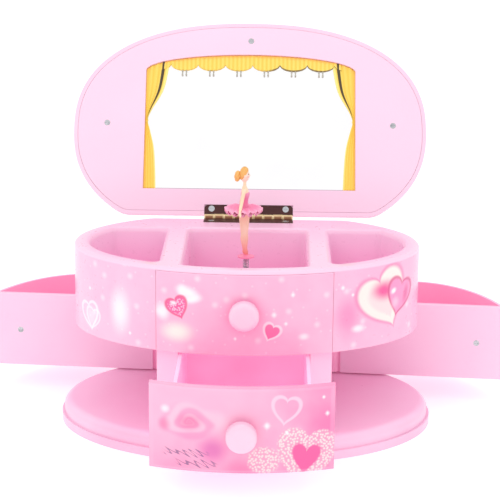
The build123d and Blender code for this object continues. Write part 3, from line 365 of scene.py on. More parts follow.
def build_spot(w, given):
    """Distance that is 1 on an oval's outline, and a four-pointed sparkle of the same size."""
    across, upright = turned_offsets(w, given)
    x = w.maths("ABSOLUTE", w.maths("DIVIDE", across, given["Half Width"]))
    y = w.maths("ABSOLUTE", w.maths("DIVIDE", upright, given["Half Height"]))
    distance = w.length(x, y)
    arms = w.plus(w.maths("SQRT", x), w.maths("SQRT", y))
    core = w.step(distance, 0.55, 0.0)
    return distance, w.larger(w.step(arms, 1.0, 0.35), core)


def build_moulded(w, given):
    """Soft colour drift and the faint ripple of a moulded surface."""
    return w.step(w.noise(given["Drift Scale"], 2.0), 0.3, 0.7), w.noise(given["Ripple Scale"], 3.0)


def build_brushed(w, given):
    """Fine streaks along x, and specks of wear."""
    x, y, z = w.place()
    stretched = w.add("ShaderNodeCombineXYZ", {0: w.times(x, 0.08), 1: y, 2: z}).outputs[0]
    streaks = w.add("ShaderNodeTexNoise", {"Vector": stretched, "Scale": given["Scale"], "Detail": 4.0})
    flat = w.add("ShaderNodeCombineXYZ", {0: x, 1: y, 2: z}).outputs[0]
    specks = w.add("ShaderNodeTexNoise", {"Vector": flat, "Scale": 0.55, "Detail": 5.0})
    return streaks.outputs[0], w.step(specks.outputs[0], 0.56, 0.68)


def scattered(w, given, scale):
    """Distance to the nearest of many points scattered over the print."""
    flat = w.add("ShaderNodeCombineXYZ", {0: given["Along"], 1: given["Up"]}).outputs[0]
    values = {"Vector": flat, "Scale": scale}
    return w.add("ShaderNodeTexVoronoi", values, voronoi_dimensions="2D").outputs["Distance"]


def build_beads(w, given):
    """Round beads scattered at about one pitch: a pale top and a shadow between them."""
    off = scattered(w, given, w.maths("DIVIDE", 1.0, given["Pitch"]))
    return w.step(off, 0.55, 0.2), w.step(off, 0.45, 0.75)


def build_star_dust(w, given):
    """Small soft specks of two sizes, scattered over the print."""
    large, small = scattered(w, given, 0.06), scattered(w, given, 0.1)
    return [w.larger(w.step(large, 0.16, 0.0, 0.8), w.step(small, 0.09, 0.02, 0.45))]


motif = {"Along": 0.0, "Up": 0.0, "Centre Along": 0.0, "Centre Up": 0.0, "Half Width": 5.0, "Tilt": 0.0}
round_body = new_group("round_body", {"Shift": 0.0}, ("Along", "Up", "Reach"), build_round_body)
heart_shape = new_group("heart_shape", motif, ("Distance",), build_heart)
spot_shape = new_group("spot_shape", {**motif, "Half Height": 5.0}, ("Distance", "Sparkle"), build_spot)
moulded = new_group("moulded", {"Drift Scale": 22.0, "Ripple Scale": 420.0}, ("Drift", "Ripple"),
                    build_moulded)
brushed = new_group("brushed", {"Scale": 2.4}, ("Streaks", "Wear"), build_brushed)
star_dust = new_group("star_dust", {"Along": 0.0, "Up": 0.0}, ("Dust",), build_star_dust)
beads = new_group("beads", {"Along": 0.0, "Up": 0.0, "Pitch": 2.0}, ("Top", "Shadow"), build_beads)


# -------- finishes
def finish(name, slot_nodes, build, bump=0.0, **settings):
    """A procedural material: build wires it and returns a dict of sockets, then it goes on the CAD nodes."""
    made = bpy.data.materials.new(name)
    made.use_nodes = True
    wires = Wires(made.node_tree)
    shader = made.node_tree.nodes["Principled BSDF"]
    for key, value in settings.items():
        shader.inputs[key.replace("_", " ")].default_value = value
    sockets = build(wires)
    height = sockets.pop("Height", None)
    for key, value in sockets.items():
        wires.tree.links.new(value, shader.inputs[key])
    if height is not None:
        relief = wires.add("ShaderNodeBump", {"Height": height, "Strength": bump, "Distance": 0.0004})
        wires.tree.links.new(relief.outputs["Normal"], shader.inputs["Normal"])
    for node in slot_nodes:
        slots = frame["nodes"][node].data.materials
        slots.clear()
        slots.append(made)
    return made


def rippled(w, colour, ripple, gain, smooth):
    """Sockets of a surface whose roughness and relief follow its ripple."""
    return {"Base Color": colour, "Roughness": w.linear(ripple, gain, smooth), "Height": ripple}


def plastic(base, paler, deeper, wear=0.08):
    """Moulded plastic: a colour that drifts towards a paler and a deeper one, with a fine ripple."""
    def build(w):
        surface = w.group(moulded, {})
        colour = w.mix(w.times(surface["Drift"], 0.35), shade(*base), shade(*paler))
        colour = w.mix(w.times(w.step(surface["Ripple"], 0.55, 0.75), wear), colour, shade(*deeper))
        return rippled(w, colour, surface["Ripple"], 0.10, 0.30)
    return build


def glowing_plastic(base, paler, deeper, lit):
    """Moulded plastic with a painted glow: the same finish, with an emission of its own that lifts it where
    it lies in shade.
    """
    def build(w):
        sockets = plastic(base, paler, deeper)(w)
        drift = w.group(moulded, {})["Drift"]
        # painted glow: an emission colour that drifts between the glow colour and the base colour
        sockets["Emission Color"] = w.mix(w.times(drift, 0.3), shade(*lit), shade(*base))
        return sockets
    return build


def metal(base, deeper, rough=0.3):
    """Drawn or turned metal: streaks along x and dull specks of wear."""
    def build(w):
        surface = w.group(brushed, {})
        colour = w.mix(w.times(surface["Streaks"], 0.4), shade(*base), shade(*deeper))
        colour = w.mix(w.times(surface["Wear"], 0.5), colour, shade(*deeper))
        return {"Base Color": colour, "Height": surface["Streaks"],
                "Roughness": w.linear(surface["Wear"], 0.25, rough)}
    return build


class Motifs:
    """Shapes of a print, placed by the distance along it and the height up it."""

    def __init__(self, w, along, up):
        self.w, self.along, self.up = w, along, up

    def shape(self, tree, centre, half, tilt, more):
        values = {"Along": self.along, "Up": self.up, "Centre Along": centre[0], "Centre Up": centre[1],
                  "Half Width": half, "Tilt": math.radians(tilt), **more}
        return self.w.group(tree, values)

    def heart(self, centre, half, tilt=0.0):
        return self.shape(heart_shape, centre, half, tilt, {})["Distance"]

    def spot(self, centre, half, half_height=None, tilt=0.0):
        return self.shape(spot_shape, centre, half, tilt, {"Half Height": half_height or half})

    def glow(self, centre, half, half_height=None, tilt=0.0, strength=1.0):
        """A soft light patch that fades out from its centre."""
        return self.w.step(self.spot(centre, half, half_height, tilt)["Distance"], 1.0, 0.1, strength)

    def sparkle(self, centre, half, strength=0.9):
        return self.w.times(self.spot(centre, half, half * 1.15)["Sparkle"], strength)

    def sparkles(self, colour, *places):
        """A layer for each place, given as along, up and half width."""
        return [(self.sparkle((along, up), half), colour) for along, up, half in places]

    def painted(self, centre, half, half_height):
        """A small painted oval with a crisp edge."""
        return self.w.step(self.spot(centre, half, half_height)["Distance"], 1.2, 0.9)


def ring_print(w, along, up):
    """The print round the upper storey: hearts, wings, glows and sparkles on pink."""
    art = Motifs(w, along, up)
    white, cream = shade(255, 247, 250), shade(255, 240, 232)
    left = w.step(along, -38.0, -62.0)
    right = w.step(along, 40.0, 60.0)
    colour = w.mix(left, shade(250, 182, 213), shade(251, 188, 218))
    colour = w.mix(w.times(right, 0.7), colour, shade(255, 178, 212))
    mottle = w.group(moulded, {"Drift Scale": 75.0})
    colour = w.mix(w.times(mottle["Drift"], 0.3), colour, shade(254, 204, 228))

    # the left-hand sketched heart, its tall light and its dots
    sketch = art.heart((-89.0, 66.8), 7.2, 12.0)
    twin = art.heart((-86.6, 65.6), 5.6, -6.0)
    dust = w.group(star_dust, {"Along": along, "Up": up})["Dust"]
    layers = [
        (w.times(dust, 0.5), white),
        (art.glow((-66.8, 74.5), 8.5, 17.0, 0.0, 0.8), white),
        (art.glow((-88.0, 66.5), 9.0, 9.0, 0.0, 0.4), white),
        (w.times(w.band(sketch, 1.0, 0.05, 0.12), 0.6), white),
        (w.times(w.band(twin, 1.0, 0.04, 0.12), 0.5), white),
        *art.sparkles(white, (-88.7, 81.9, 2.4), (-60.7, 63.3, 2.2))]

    # the middle panel: a winged heart, a light under it and the glow round the knob
    winged = art.heart((-34.0, 80.0), 5.9, 22.0)
    glitter = w.group(beads, {"Along": along, "Up": up, "Pitch": 1.1})
    layers += [
        (art.glow((-0.3, 77.4), 17.0, 14.0, 0.0, 0.65), shade(255, 150, 200)),
        (art.glow((-34.4, 67.4), 12.0, 7.5, 0.0, 1.0), cream),
        (art.glow((-28.6, 88.6), 9.0, 4.6, -20.0, 1.0), white),
        (art.glow((-26.6, 85.4), 7.0, 3.4, 10.0, 1.0), white),
        (art.glow((-31.8, 89.6), 3.6, 4.6, 10.0, 0.9), white),
        (art.glow((-42.2, 77.6), 5.0, 6.6, 20.0, 0.9), white),
        (w.step(winged, 1.14, 0.94, 0.85), shade(222, 70, 130)),
        (w.step(winged, 0.95, 0.75), shade(246, 96, 160)),
        (w.times(w.step(winged, 0.9, 0.6), glitter["Top"]), shade(255, 190, 220)),
        (art.glow((-36.4, 82.6), 2.6, 1.8, 0.0, 0.8), white)]
    small = art.heart((13.6, 68.6), 4.3, -24.0)
    layers += [
        (w.step(small, 1.3, 1.1, 0.55), white), (w.step(small, 0.98, 0.8), shade(246, 118, 172)),
        *art.sparkles(white, (24.6, 88.4, 3.0), (15.1, 78.1, 3.6), (21.2, 73.2, 2.6), (-4.5, 65.4, 2.2)),
        (art.glow((30.5, 66.0), 4.0, 2.6, 0.0, 0.7), white)]

    # the right-hand hearts: one pale behind, one glossy before it
    pale = art.heart((77.0, 79.6), 15.8, 22.0)
    glossy = art.heart((87.0, 79.8), 10.2, -16.0)
    layers += [
        (art.glow((54.0, 74.5), 10.0, 15.0, 0.0, 0.8), shade(255, 140, 190)),
        (w.step(pale, 1.16, 1.0, 0.75), shade(250, 130, 180)),
        (w.step(pale, 1.03, 0.88, 0.92), cream),
        (w.times(w.step(pale, 0.72, 0.5), 0.6), shade(255, 205, 215)),
        (art.glow((75.5, 85.6), 11.0, 7.5, -8.0, 1.0), shade(246, 84, 154)),
        (w.step(glossy, 1.1, 0.95, 0.85), shade(214, 74, 136)),
        (w.step(glossy, 0.93, 0.8), shade(250, 150, 198)),
        (art.glow((92.5, 80.5), 3.4, 8.0, -14.0, 0.8), shade(226, 92, 156)),
        (art.glow((84.0, 77.5), 4.2, 4.4, 0.0, 0.8), shade(255, 196, 222)),
        (art.glow((82.4, 84.0), 2.9, 2.2, 25.0, 1.0), white),
        *art.sparkles(white, (50.8, 90.2, 2.8), (56.5, 85.9, 2.2)),
        (art.glow((60.0, 67.5), 5.5, 3.0, 0.0, 0.8), white)]
    return w.paint(colour, layers), mottle["Ripple"]


def build_ring(w):
    """Upper storey: print outside, a shiny pink rim with a painted highlight towards its outer edge, and
    painted shade deepening down the pockets and on their front walls.
    """
    along, up, reach = w.group(round_body, {})
    x, y, z = w.place()
    print_colour, ripple = ring_print(w, along, up)
    # painted highlight: the rim turns paler towards its outer edge
    rim = w.mix(w.step(reach, 0.93, 1.0), shade(250, 196, 224), shade(255, 208, 232))
    # painted shade: the pocket walls darken with depth below the rim, and more on their front walls
    pocket_shade = w.step(z, rim_z - 1.5, rim_z - pocket_depth)
    pocket = w.mix(pocket_shade, shade(255, 214, 238), shade(255, 196, 228))
    wall_shade = w.step(y, ring_centre_y - 30.0, ring_centre_y - 46.0, 0.5)
    pocket = w.mix(w.times(wall_shade, pocket_shade), pocket, shade(255, 176, 214))
    colour = w.mix(w.step(z, rim_z - 2.2, rim_z - 0.6), pocket, rim)
    outside = w.times(w.step(reach, 0.972, 0.985), w.step(z, rim_z - 1.2, rim_z - 2.4))
    colour = w.mix(outside, colour, print_colour)
    return rippled(w, colour, ripple, 0.1, 0.24)


def build_ring_panel(w):
    """The false front of the upper storey carries the same print, with a painted highlight in a pale band
    along its top edge.
    """
    along, up, reach = w.group(round_body, {})
    print_colour, ripple = ring_print(w, along, up)
    # painted highlight: a pale band along the panel's top edge, under the rim
    colour = w.mix(w.step(up, rim_z - 3.0, rim_z - 1.6), print_colour, shade(255, 210, 238))
    return {"Base Color": colour, "Height": ripple}


def build_drawer_print(w):
    """The drawer's front: a rose, beads along a heart, a flourish and a pale border."""
    along, up, reach = w.group(round_body, {"Shift": drawer_out})
    art = Motifs(w, along, up)
    white, cream = shade(255, 247, 250), shade(255, 243, 236)
    low, high = front_low[2], front_high[2]
    colour = w.mix(w.step(along, -5.0, 44.0), shade(253, 180, 211), shade(252, 146, 190))
    colour = w.mix(w.step(up, 40.0, low, 0.6), colour, shade(250, 138, 186))
    mottle = w.group(moulded, {"Drift Scale": 75.0})
    colour = w.mix(w.times(mottle["Drift"], 0.3), colour, shade(254, 192, 218))

    # the rose: petal edges lie where the turn and the logarithm of the distance from its middle agree
    a = w.times(w.minus(along, -25.5), 0.68)
    u = w.minus(up, 38.2)
    turn = w.maths("ARCTAN2", u, a)
    across = w.length(a, u)
    crinkle = w.times(w.maths("SINE", w.times(turn, 3.0)), 0.9)
    edge = w.plus(w.times(w.maths("LOGARITHM", across, math.e), 6.0), turn)
    petals = w.step(w.maths("SINE", w.plus(edge, crinkle)), -0.9, 1.0, 0.6)
    lobes = w.linear(w.maths("SINE", w.linear(turn, 4.0, 0.6)), 0.9, 9.4)
    rose = w.step(w.minus(across, lobes), 1.4, -1.8, 0.9)
    petal_colour = w.mix(petals, shade(250, 158, 198), shade(255, 214, 230))
    petal_colour = w.mix(w.step(across, 6.0, 1.2, 0.75), petal_colour, shade(240, 112, 165))
    petal_colour = w.mix(w.step(up, 36.5, 27.0, 0.6), petal_colour, shade(248, 140, 190))

    # beads along a heart, a cluster beside it, and a heart drawn with a soft line
    beads_here = w.group(beads, {"Along": along, "Up": up, "Pitch": 1.35})
    garland = art.heart((31.3, 19.5), 14.6, -8.0)
    cluster = art.spot((10.8, 19.6), 8.6, 7.6)["Distance"]
    beaded = w.larger(w.band(garland, 0.76, 0.2, 0.12), w.step(cluster, 1.05, 0.75))
    thin = art.heart((21.4, 44.6), 6.8, -8.0)

    # the flourish: two looping waves whose height dies away at both ends
    strokes = []
    for centre, height, half, turns in ((-27.5, 22.2, 13.0, 21.0), (-22.0, 17.0, 12.0, 17.0)):
        f = w.maths("DIVIDE", w.minus(along, centre), half)
        fade = w.step(w.maths("ABSOLUTE", f), 1.0, 0.6)
        slanted = w.linear(w.minus(up, height), 0.12, f)
        wave = w.times(w.maths("SINE", w.times(slanted, turns)), 1.25)
        swell = w.linear(w.maths("SINE", w.times(f, 5.0)), 0.5, 1.0)
        off = w.minus(w.minus(up, height), w.times(wave, swell))
        strokes.append(w.times(w.band(off, 0.0, 0.3, 0.55), fade))
    flourish = w.larger(strokes[0], strokes[1])

    layers = [
        (art.glow((42.0, 34.0), 14.0, 24.0, 0.0, 0.75), shade(252, 112, 172)),
        (art.glow((0.0, 14.0), 12.0, 9.0, 0.0, 0.7), shade(250, 116, 170)),
        (art.glow((-14.0, 24.5), 11.0, 10.0, -10.0, 0.9), shade(222, 112, 180)),
        (art.glow((-12.0, 39.5), 9.0, 7.0, -10.0, 0.8), shade(255, 206, 226)),
        (rose, petal_colour),
        (art.glow((-37.5, 44.0), 3.4, 3.0, 0.0, 0.8), shade(255, 236, 244)),
        (art.glow((-38.0, 36.0), 4.4, 5.0, 0.0, 0.6), shade(246, 112, 165)),
        (w.step(garland, 0.66, 0.42), shade(255, 92, 160)),
        (w.times(beaded, 0.75), shade(250, 166, 196)),
        (w.times(w.times(beaded, beads_here["Top"]), 0.8), shade(255, 232, 228)),
        (w.times(w.band(thin, 1.0, 0.06, 0.14), 0.75), shade(255, 210, 230)),
        (w.times(flourish, 0.75), shade(112, 84, 132)),
        *art.sparkles(white, (12.3, 37.4, 4.2), (40.0, 50.7, 2.2), (42.0, 42.2, 2.8), (22.0, 33.5, 2.6))]
    colour = w.paint(colour, layers)
    border = w.larger(w.step(up, low + 1.8, low + 0.9), w.step(up, high - 1.8, high - 0.9))
    border = w.larger(border, w.step(w.maths("ABSOLUTE", along), 43.0, 44.2))
    colour = w.mix(w.times(border, 0.2), colour, shade(253, 196, 222))
    return {"Base Color": colour, "Height": mottle["Ripple"]}


def build_liner(w):
    """Lid lining: pale pink, with painted shade darkening it towards the hinge."""
    surface = w.group(moulded, {"Drift Scale": 14.0})
    x, y, z = w.place()
    colour = w.mix(w.times(surface["Drift"], 0.5), shade(255, 212, 234), shade(255, 218, 240))
    # painted shade: the lining darkens towards the hinge
    hinge_shade = w.step(z, hinge_line[2] + 28.0, hinge_line[2] + 2.0, 0.7)
    colour = w.mix(hinge_shade, colour, shade(247, 205, 227))
    return rippled(w, colour, surface["Ripple"], 0.12, 0.3)


def build_base(w):
    """Base moulding: pink top, with painted shade making its rolled rim and skirt a darker pink."""
    surface = w.group(moulded, {})
    x, y, z = w.place()
    top = w.mix(surface["Drift"], shade(255, 204, 234), shade(255, 212, 238))
    # painted shade: the rolled rim and skirt below the top are a darker pink
    skirt = w.mix(surface["Drift"], shade(246, 190, 220), shade(252, 204, 230))
    colour = w.mix(w.step(z, base_high[2] - 0.5, base_high[2] - 3.0), top, skirt)
    return rippled(w, colour, surface["Ripple"], 0.1, 0.25)


def build_housing(w):
    """Lower storey: the bay inside a deeper pink as painted shade, a paler pink wall outside."""
    surface = w.group(moulded, {})
    along, up, reach = w.group(round_body, {})
    inside = w.mix(surface["Drift"], shade(255, 200, 228), shade(255, 208, 232))
    outside = w.mix(surface["Drift"], shade(255, 216, 240), shade(255, 222, 242))
    # painted shade: the inside of the bay is a darker pink than the wall outside
    colour = w.mix(w.step(reach, 0.945, 0.985), inside, outside)
    return {"Base Color": colour, "Height": surface["Ripple"]}


def build_glass(w):
    """Mirror: bright and very smooth, with the faintest cloudiness, a painted glow, and a thin painted shade
    line along the window's foot.
    """
    surface = w.group(moulded, {"Drift Scale": 30.0})
    x, y, z = w.place()
    colour = w.mix(surface["Drift"], shade(255, 255, 255), shade(252, 252, 254))
    up_glass = w.times(w.minus(z, hinge_line[2]), 1 / math.sin(math.pi - lid_open))
    # painted shade: a thin grey line along the foot of the window, under the lining's edge
    foot_shade_line = w.step(up_glass, window_foot + 1.35, window_foot + 1.05, 0.8)
    colour = w.mix(foot_shade_line, colour, shade(160, 140, 160))
    rough = w.linear(surface["Drift"], 0.03, 0.05)
    # painted glow: the mirror's colour is also its emission colour
    return {"Base Color": colour, "Emission Color": colour, "Roughness": rough}


def build_card(w):
    """Backing card: a fibrous pale board."""
    fibres = w.noise(900.0, 5.0)
    colour = w.mix(w.step(fibres, 0.35, 0.7), shade(226, 214, 200), shade(240, 232, 222))
    return {"Base Color": colour, "Height": fibres}


def build_hinge(w):
    """Dark bronze leaves; each knuckle is edged in worn gold where it meets the next, and carries a painted
    highlight in gold along its upper side.
    """
    surface = w.group(brushed, {"Scale": 1.6})
    x, y, z = w.place()
    span = (leaf_high[0] - leaf_low[0]) / knuckle_count
    turns = w.maths("FRACT", w.maths("DIVIDE", w.minus(x, leaf_low[0]), span))
    within = w.maths("ABSOLUTE", w.minus(turns, 0.5))
    edge = w.step(within, 0.34, 0.42)
    dy = w.minus(y, hinge_line[1])
    dz = w.minus(z, hinge_line[2])
    radius = w.length(dy, dz)
    on_knuckle = w.step(radius, knuckle_radius + 0.35, knuckle_radius + 0.1)
    # painted highlight: gold along the upper side of each knuckle
    lit = w.step(dz, knuckle_radius * 0.45, knuckle_radius * 0.95)
    gold = w.times(on_knuckle, w.larger(edge, w.times(lit, 0.8)))
    dark = w.mix(surface["Streaks"], shade(58, 24, 28), shade(84, 40, 38))
    brown = w.mix(surface["Streaks"], shade(140, 92, 66), shade(168, 116, 82))
    colour = w.mix(on_knuckle, dark, brown)
    colour = w.mix(gold, colour, shade(232, 208, 160))
    return {"Base Color": colour, "Height": surface["Streaks"],
            "Roughness": w.linear(surface["Wear"], 0.2, 0.36)}


def build_curtain(w):
    """Curtain cloth: gold with orange in the folds and towards the outer edge. The print's own map
    gives the fold in u, from the inner edge at 0 to the outer at 1, and the height in v."""
    u, v = w.pattern()
    fold = w.linear(w.maths("SINE", w.times(u, 26.0)), 0.5, 0.5)
    weave = w.noise(1500.0, 3.0)
    colour = w.mix(fold, shade(248, 210, 84), shade(253, 221, 104))
    colour = w.mix(w.step(u, 0.82, 1.0, 0.7), colour, shade(250, 188, 88))
    colour = w.mix(w.step(u, 0.16, 0.04), colour, shade(255, 238, 140))
    colour = w.mix(w.times(w.band(u, 0.24, 0.055, 0.03), w.step(v, 54.0, 62.0, 0.95)),
                   colour, shade(46, 36, 40))
    return {"Base Color": colour, "Height": weave}


def build_cloth(base, paler):
    """Net or satin: fine weave, paler towards the end where the piece's map has v at 1."""
    def build(w):
        u, v = w.pattern()
        weave = w.noise(2600.0, 2.0)
        colour = w.mix(w.step(v, 0.55, 1.0), shade(*base), shade(*paler))
        colour = w.mix(w.times(w.step(weave, 0.45, 0.7), 0.35), colour, shade(*paler))
        return {"Base Color": colour, "Height": weave}
    return build


def build_hair(w):
    """Hair: strands round the crown in gold and amber."""
    values = {"Vector": w.add("ShaderNodeTexCoord").outputs["Object"], "Scale": 700.0, "Distortion": 6.0,
              "Detail": 3.0}
    strands = w.add("ShaderNodeTexWave", values, bands_direction="Z").outputs["Fac"]
    colour = w.mix(strands, shade(242, 168, 84), shade(255, 206, 124))
    return {"Base Color": colour, "Height": strands}


def build_skin(w):
    """Doll skin: peach, rosier down the legs."""
    x, y, z = w.place()
    surface = w.group(moulded, {"Drift Scale": 160.0, "Ripple Scale": 1500.0})
    colour = w.mix(surface["Drift"], shade(253, 222, 186), shade(255, 228, 198))
    colour = w.mix(w.step(z, feet_z + 15.0, feet_z), colour, shade(250, 150, 140))
    return {"Base Color": colour, "Height": surface["Ripple"]}


def build_face(w):
    """The doll's face: peach with rosy cheek, a small closed mouth, and painted eyes and brows."""
    u, v = w.pattern()
    surface = w.group(moulded, {"Drift Scale": 160.0, "Ripple Scale": 1500.0})
    colour = w.mix(surface["Drift"], shade(254, 226, 202), shade(255, 232, 212))
    both = Motifs(w, w.maths("ABSOLUTE", u), v)
    layers = [
        (both.glow((1.35, -0.8), 0.9, 0.7, 0.0, 0.6), shade(250, 160, 150)),
        (both.painted((1.0, 0.35), 0.42, 0.2), shade(70, 60, 80)),
        (both.painted((1.05, 0.85), 0.55, 0.12), shade(150, 100, 70)),
        (Motifs(w, u, v).painted((0.0, -1.45), 0.5, 0.2), shade(225, 80, 100))]
    return {"Base Color": w.paint(colour, layers), "Height": surface["Ripple"]}


def build_valance(w):
    """Valance cloth: gold gathers, orange along the arch, and a dark piped hem on the right. The
    piece's map gives x in u and the height above the hem in v."""
    u, v = w.pattern()
    weave = w.noise(1500.0, 3.0)
    fold = w.linear(w.maths("SINE", w.times(u, 2.6)), 0.5, 0.5)
    colour = w.mix(fold, shade(246, 208, 84), shade(255, 226, 112))
    colour = w.mix(w.step(v, 0.72, 1.0, 0.8), colour, shade(250, 186, 88))
    piping = w.times(w.step(v, 0.09, 0.04), w.step(u, 8.0, 14.0, 0.8))
    colour = w.mix(piping, colour, shade(96, 78, 60))
    return {"Base Color": colour, "Height": weave}


# -------- curtains on the lid
def window_top(x):
    """Top edge of the arched window: its straight side height plus a quarter-oval rise."""
    return window_side + window_arch * np.sqrt(np.clip(1 - (x / window_half_width) ** 2, 0, 1))


def on_lid(x, d, lift):
    """A point x across and d up the lid, lifted off the glass towards the lining, with the lid open."""
    return open_lid(np.stack([x, lid_rear_y - d, glass_z - lift + 0 * x], -1))


def lid_cloth(name, across, up, relief, back, u, v, material):
    """Thin closed cloth on the lid: its front stands off by the relief and its back lies near the glass."""
    front, rear = on_lid(across, up, relief), on_lid(across, up, back)
    points = np.concatenate([front.reshape(-1, 3), rear.reshape(-1, 3)])
    uv = np.tile(np.stack([u, v], -1).reshape(-1, 2), (2, 1))
    return make_piece(name, points, sheet_faces(*u.shape), "lid", material, uv)


def make_curtain(side, material):
    """Tied-back curtain: u runs from its inner edge to the window's side and v up the lid. Its front
    stands off the glass by a pleat wave that tightens where the tie draws the cloth together."""
    foot, outer = 15.3, window_half_width - 0.12
    keys = through([(foot, 53.4), (28, 54.0), (40, 55.1), (50, 57.5), (tie_height, 58.9), (62, 56.9),
                    (74, 50.4), (89, 47.3), (93, 46.6)], 120)
    u, v = np.meshgrid(np.linspace(0, 1, 72), np.linspace(0, 1, 90))
    inner = np.interp(foot + 72 * v, keys[:, 0], keys[:, 1])
    for _ in range(3):
        x = inner + (outer - inner) * u
        d = foot + (window_top(x) - top_gap - foot) * v
        inner = np.interp(d, keys[:, 0], keys[:, 1])
    x = inner + (outer - inner) * u
    drawn = np.exp(-((d - tie_height) / 6.0) ** 2)
    pleat = 0.5 + 0.5 * np.cos(2 * math.pi * 4.0 * u + 0.5 * np.sin(d / 9.0))
    relief = 0.25 + (0.5 - 0.2 * drawn) * pleat * np.clip(6 * u, 0.3, 1)
    name = "curtain_right" if side > 0 else "curtain_left"
    return lid_cloth(name, side * x, d, 0.2 + relief, 0.04, u, d, material)


def make_tie(side, material):
    """Rope tie round the drawn-in curtain: two strands wound round a short arc across the cloth."""
    rows, columns, start = 46, 10, 58.6
    t, a = np.meshgrid(np.linspace(0, 1, rows), ring_angles(columns), indexing="ij")
    x = start + (window_half_width - 0.4 - start) * t
    d = tie_height - 1.2 * np.sin(math.pi * t * 0.5)
    radius = 0.42 + 0.06 * np.sin(2 * a + 18 * t)
    points = on_lid(side * x, d + radius * np.cos(a), 0.75 + 0.8 * radius * np.sin(a))
    uv = np.stack([t * 0.5, d], -1)
    name = "curtain_tie_right" if side > 0 else "curtain_tie_left"
    return make_piece(name, points, tube_faces(rows, columns), "lid", material, uv)


def make_valance(material):
    """Valance: hangs from the window's arch to six half-oval scallops, in soft vertical gathers."""
    x, v = np.meshgrid(np.linspace(-51.5, 52.5, 300), np.linspace(0, 1, 16))
    nearest = scallop_pitch * np.round((x - scallop_x) / scallop_pitch - 0.5) + scallop_x + scallop_pitch / 2
    bend = np.sqrt(np.clip(1 - ((x - nearest) / (scallop_pitch / 2)) ** 2, 0, 1))
    foot = scallop_cusp - scallop_drop * bend
    top = window_top(x) - top_gap
    d = foot + (top - foot) * v
    gather = 0.5 + 0.5 * np.cos((x - nearest) * 2.6 + 0.6 * np.sin(3 * v))
    relief = 0.45 + 0.3 * gather * (1 - 0.5 * v)
    return lid_cloth("valance", x, d, 0.25 + relief, 0.05, x, v, material)


def make_tassels(material):
    """Two bead-headed tassels under each scallop: a ball, a neck and a flared fringe, turned round."""
    rows, columns = 18, 12
    profile = through([(0.0, 0.02), (0.35, 0.42), (0.9, 0.46), (1.3, 0.2), (1.6, 0.3), (3.2, 0.52),
                       (3.35, 0.05)], rows)
    a = ring_angles(columns)
    pieces, faces = [], []
    for k in range(6):
        for shift in (-1.1, 1.1):
            x0 = scallop_x + scallop_pitch * (k + 0.5) + shift
            d0 = scallop_cusp - scallop_drop + 0.1
            radius = profile[:, 1][:, None]
            x = x0 + radius * np.cos(a)
            d = d0 - profile[:, 0][:, None] + 0 * a
            before = len(pieces) * rows * columns
            faces += [[i + before for i in face] for face in tube_faces(rows, columns)]
            pieces.append(on_lid(x, d, 0.75 + radius * np.sin(a)).reshape(-1, 3))
    return make_piece("valance_tassels", np.concatenate(pieces), faces, "lid", material)


# -------- ballerina
def make_limb(name, keys, material, rows=70, columns=28):
    """A limb carried along a curve: rings square to z with their own half widths along x and y.
    Each key is x, y, z, half width along x, half width along y."""
    run = through(keys, rows)
    a = ring_angles(columns)
    x = run[:, 0:1] + run[:, 3:4] * np.cos(a)
    y = run[:, 1:2] + run[:, 4:5] * np.sin(a)
    z = run[:, 2:3] + 0 * a
    points = np.stack([x, y, z], -1)
    uv = np.stack([0 * x + a / (2 * math.pi), (z - z.min()) / (z.max() - z.min())], -1)
    return make_piece(name, points, tube_faces(rows, columns), "figure", material, uv)


def from_feet(keys, side=1):
    """Limb keys measured from the doll's feet, put where the doll stands; side -1 mirrors them in y."""
    return [(figure_x + x, figure_y + side * y, feet_z + z, wide, deep) for x, y, z, wide, deep in keys]


def ball(rows, columns):
    """Angles over a sphere's grid, leaving out its two poles, which get flat caps."""
    tilt = np.linspace(0.02, math.pi - 0.02, rows)
    return np.meshgrid(tilt, ring_angles(columns), indexing="ij")


def make_head(material):
    """Head facing +x: an ovoid narrowed to the chin, with gentle bumps for nose, lips and chin,
    shallow eye hollows and small ears."""
    tilt, turn = ball(72, 72)
    dx, dy, dz = np.sin(tilt) * np.cos(turn), np.sin(tilt) * np.sin(turn), np.cos(tilt)
    jaw = 1 - 0.2 * np.clip(-dz, 0, 1) ** 1.4
    x, y, z = head_half * 1.02 * dx * jaw, head_half * 0.92 * dy * jaw, head_tall * dz

    def bump(height, side, spread, tall, rise):
        near = np.exp(-(((z - height) / tall) ** 2 + ((np.abs(y) - side) / spread) ** 2))
        return rise * near * np.clip(dx * 3 - 1, 0, 1)

    x = x + bump(-0.35, 0.0, 0.34, 0.75, 0.55) + bump(-1.45, 0.0, 0.55, 0.28, 0.22)
    x = x + bump(-2.5, 0.0, 0.7, 0.5, 0.3) - bump(0.45, 0.95, 0.5, 0.4, 0.18)
    ear = np.exp(-((z + 0.1) / 0.75) ** 2 - ((x + 0.1) / 0.45) ** 2)
    y = y + np.sign(dy) * 0.35 * ear
    uv = np.stack([np.where(dx > 0, y, 9.0), z], -1)
    points = np.stack([x, y, z], -1) + head_place
    return make_piece("ballerina_head", points, tube_faces(72, 72), "figure", material, uv)


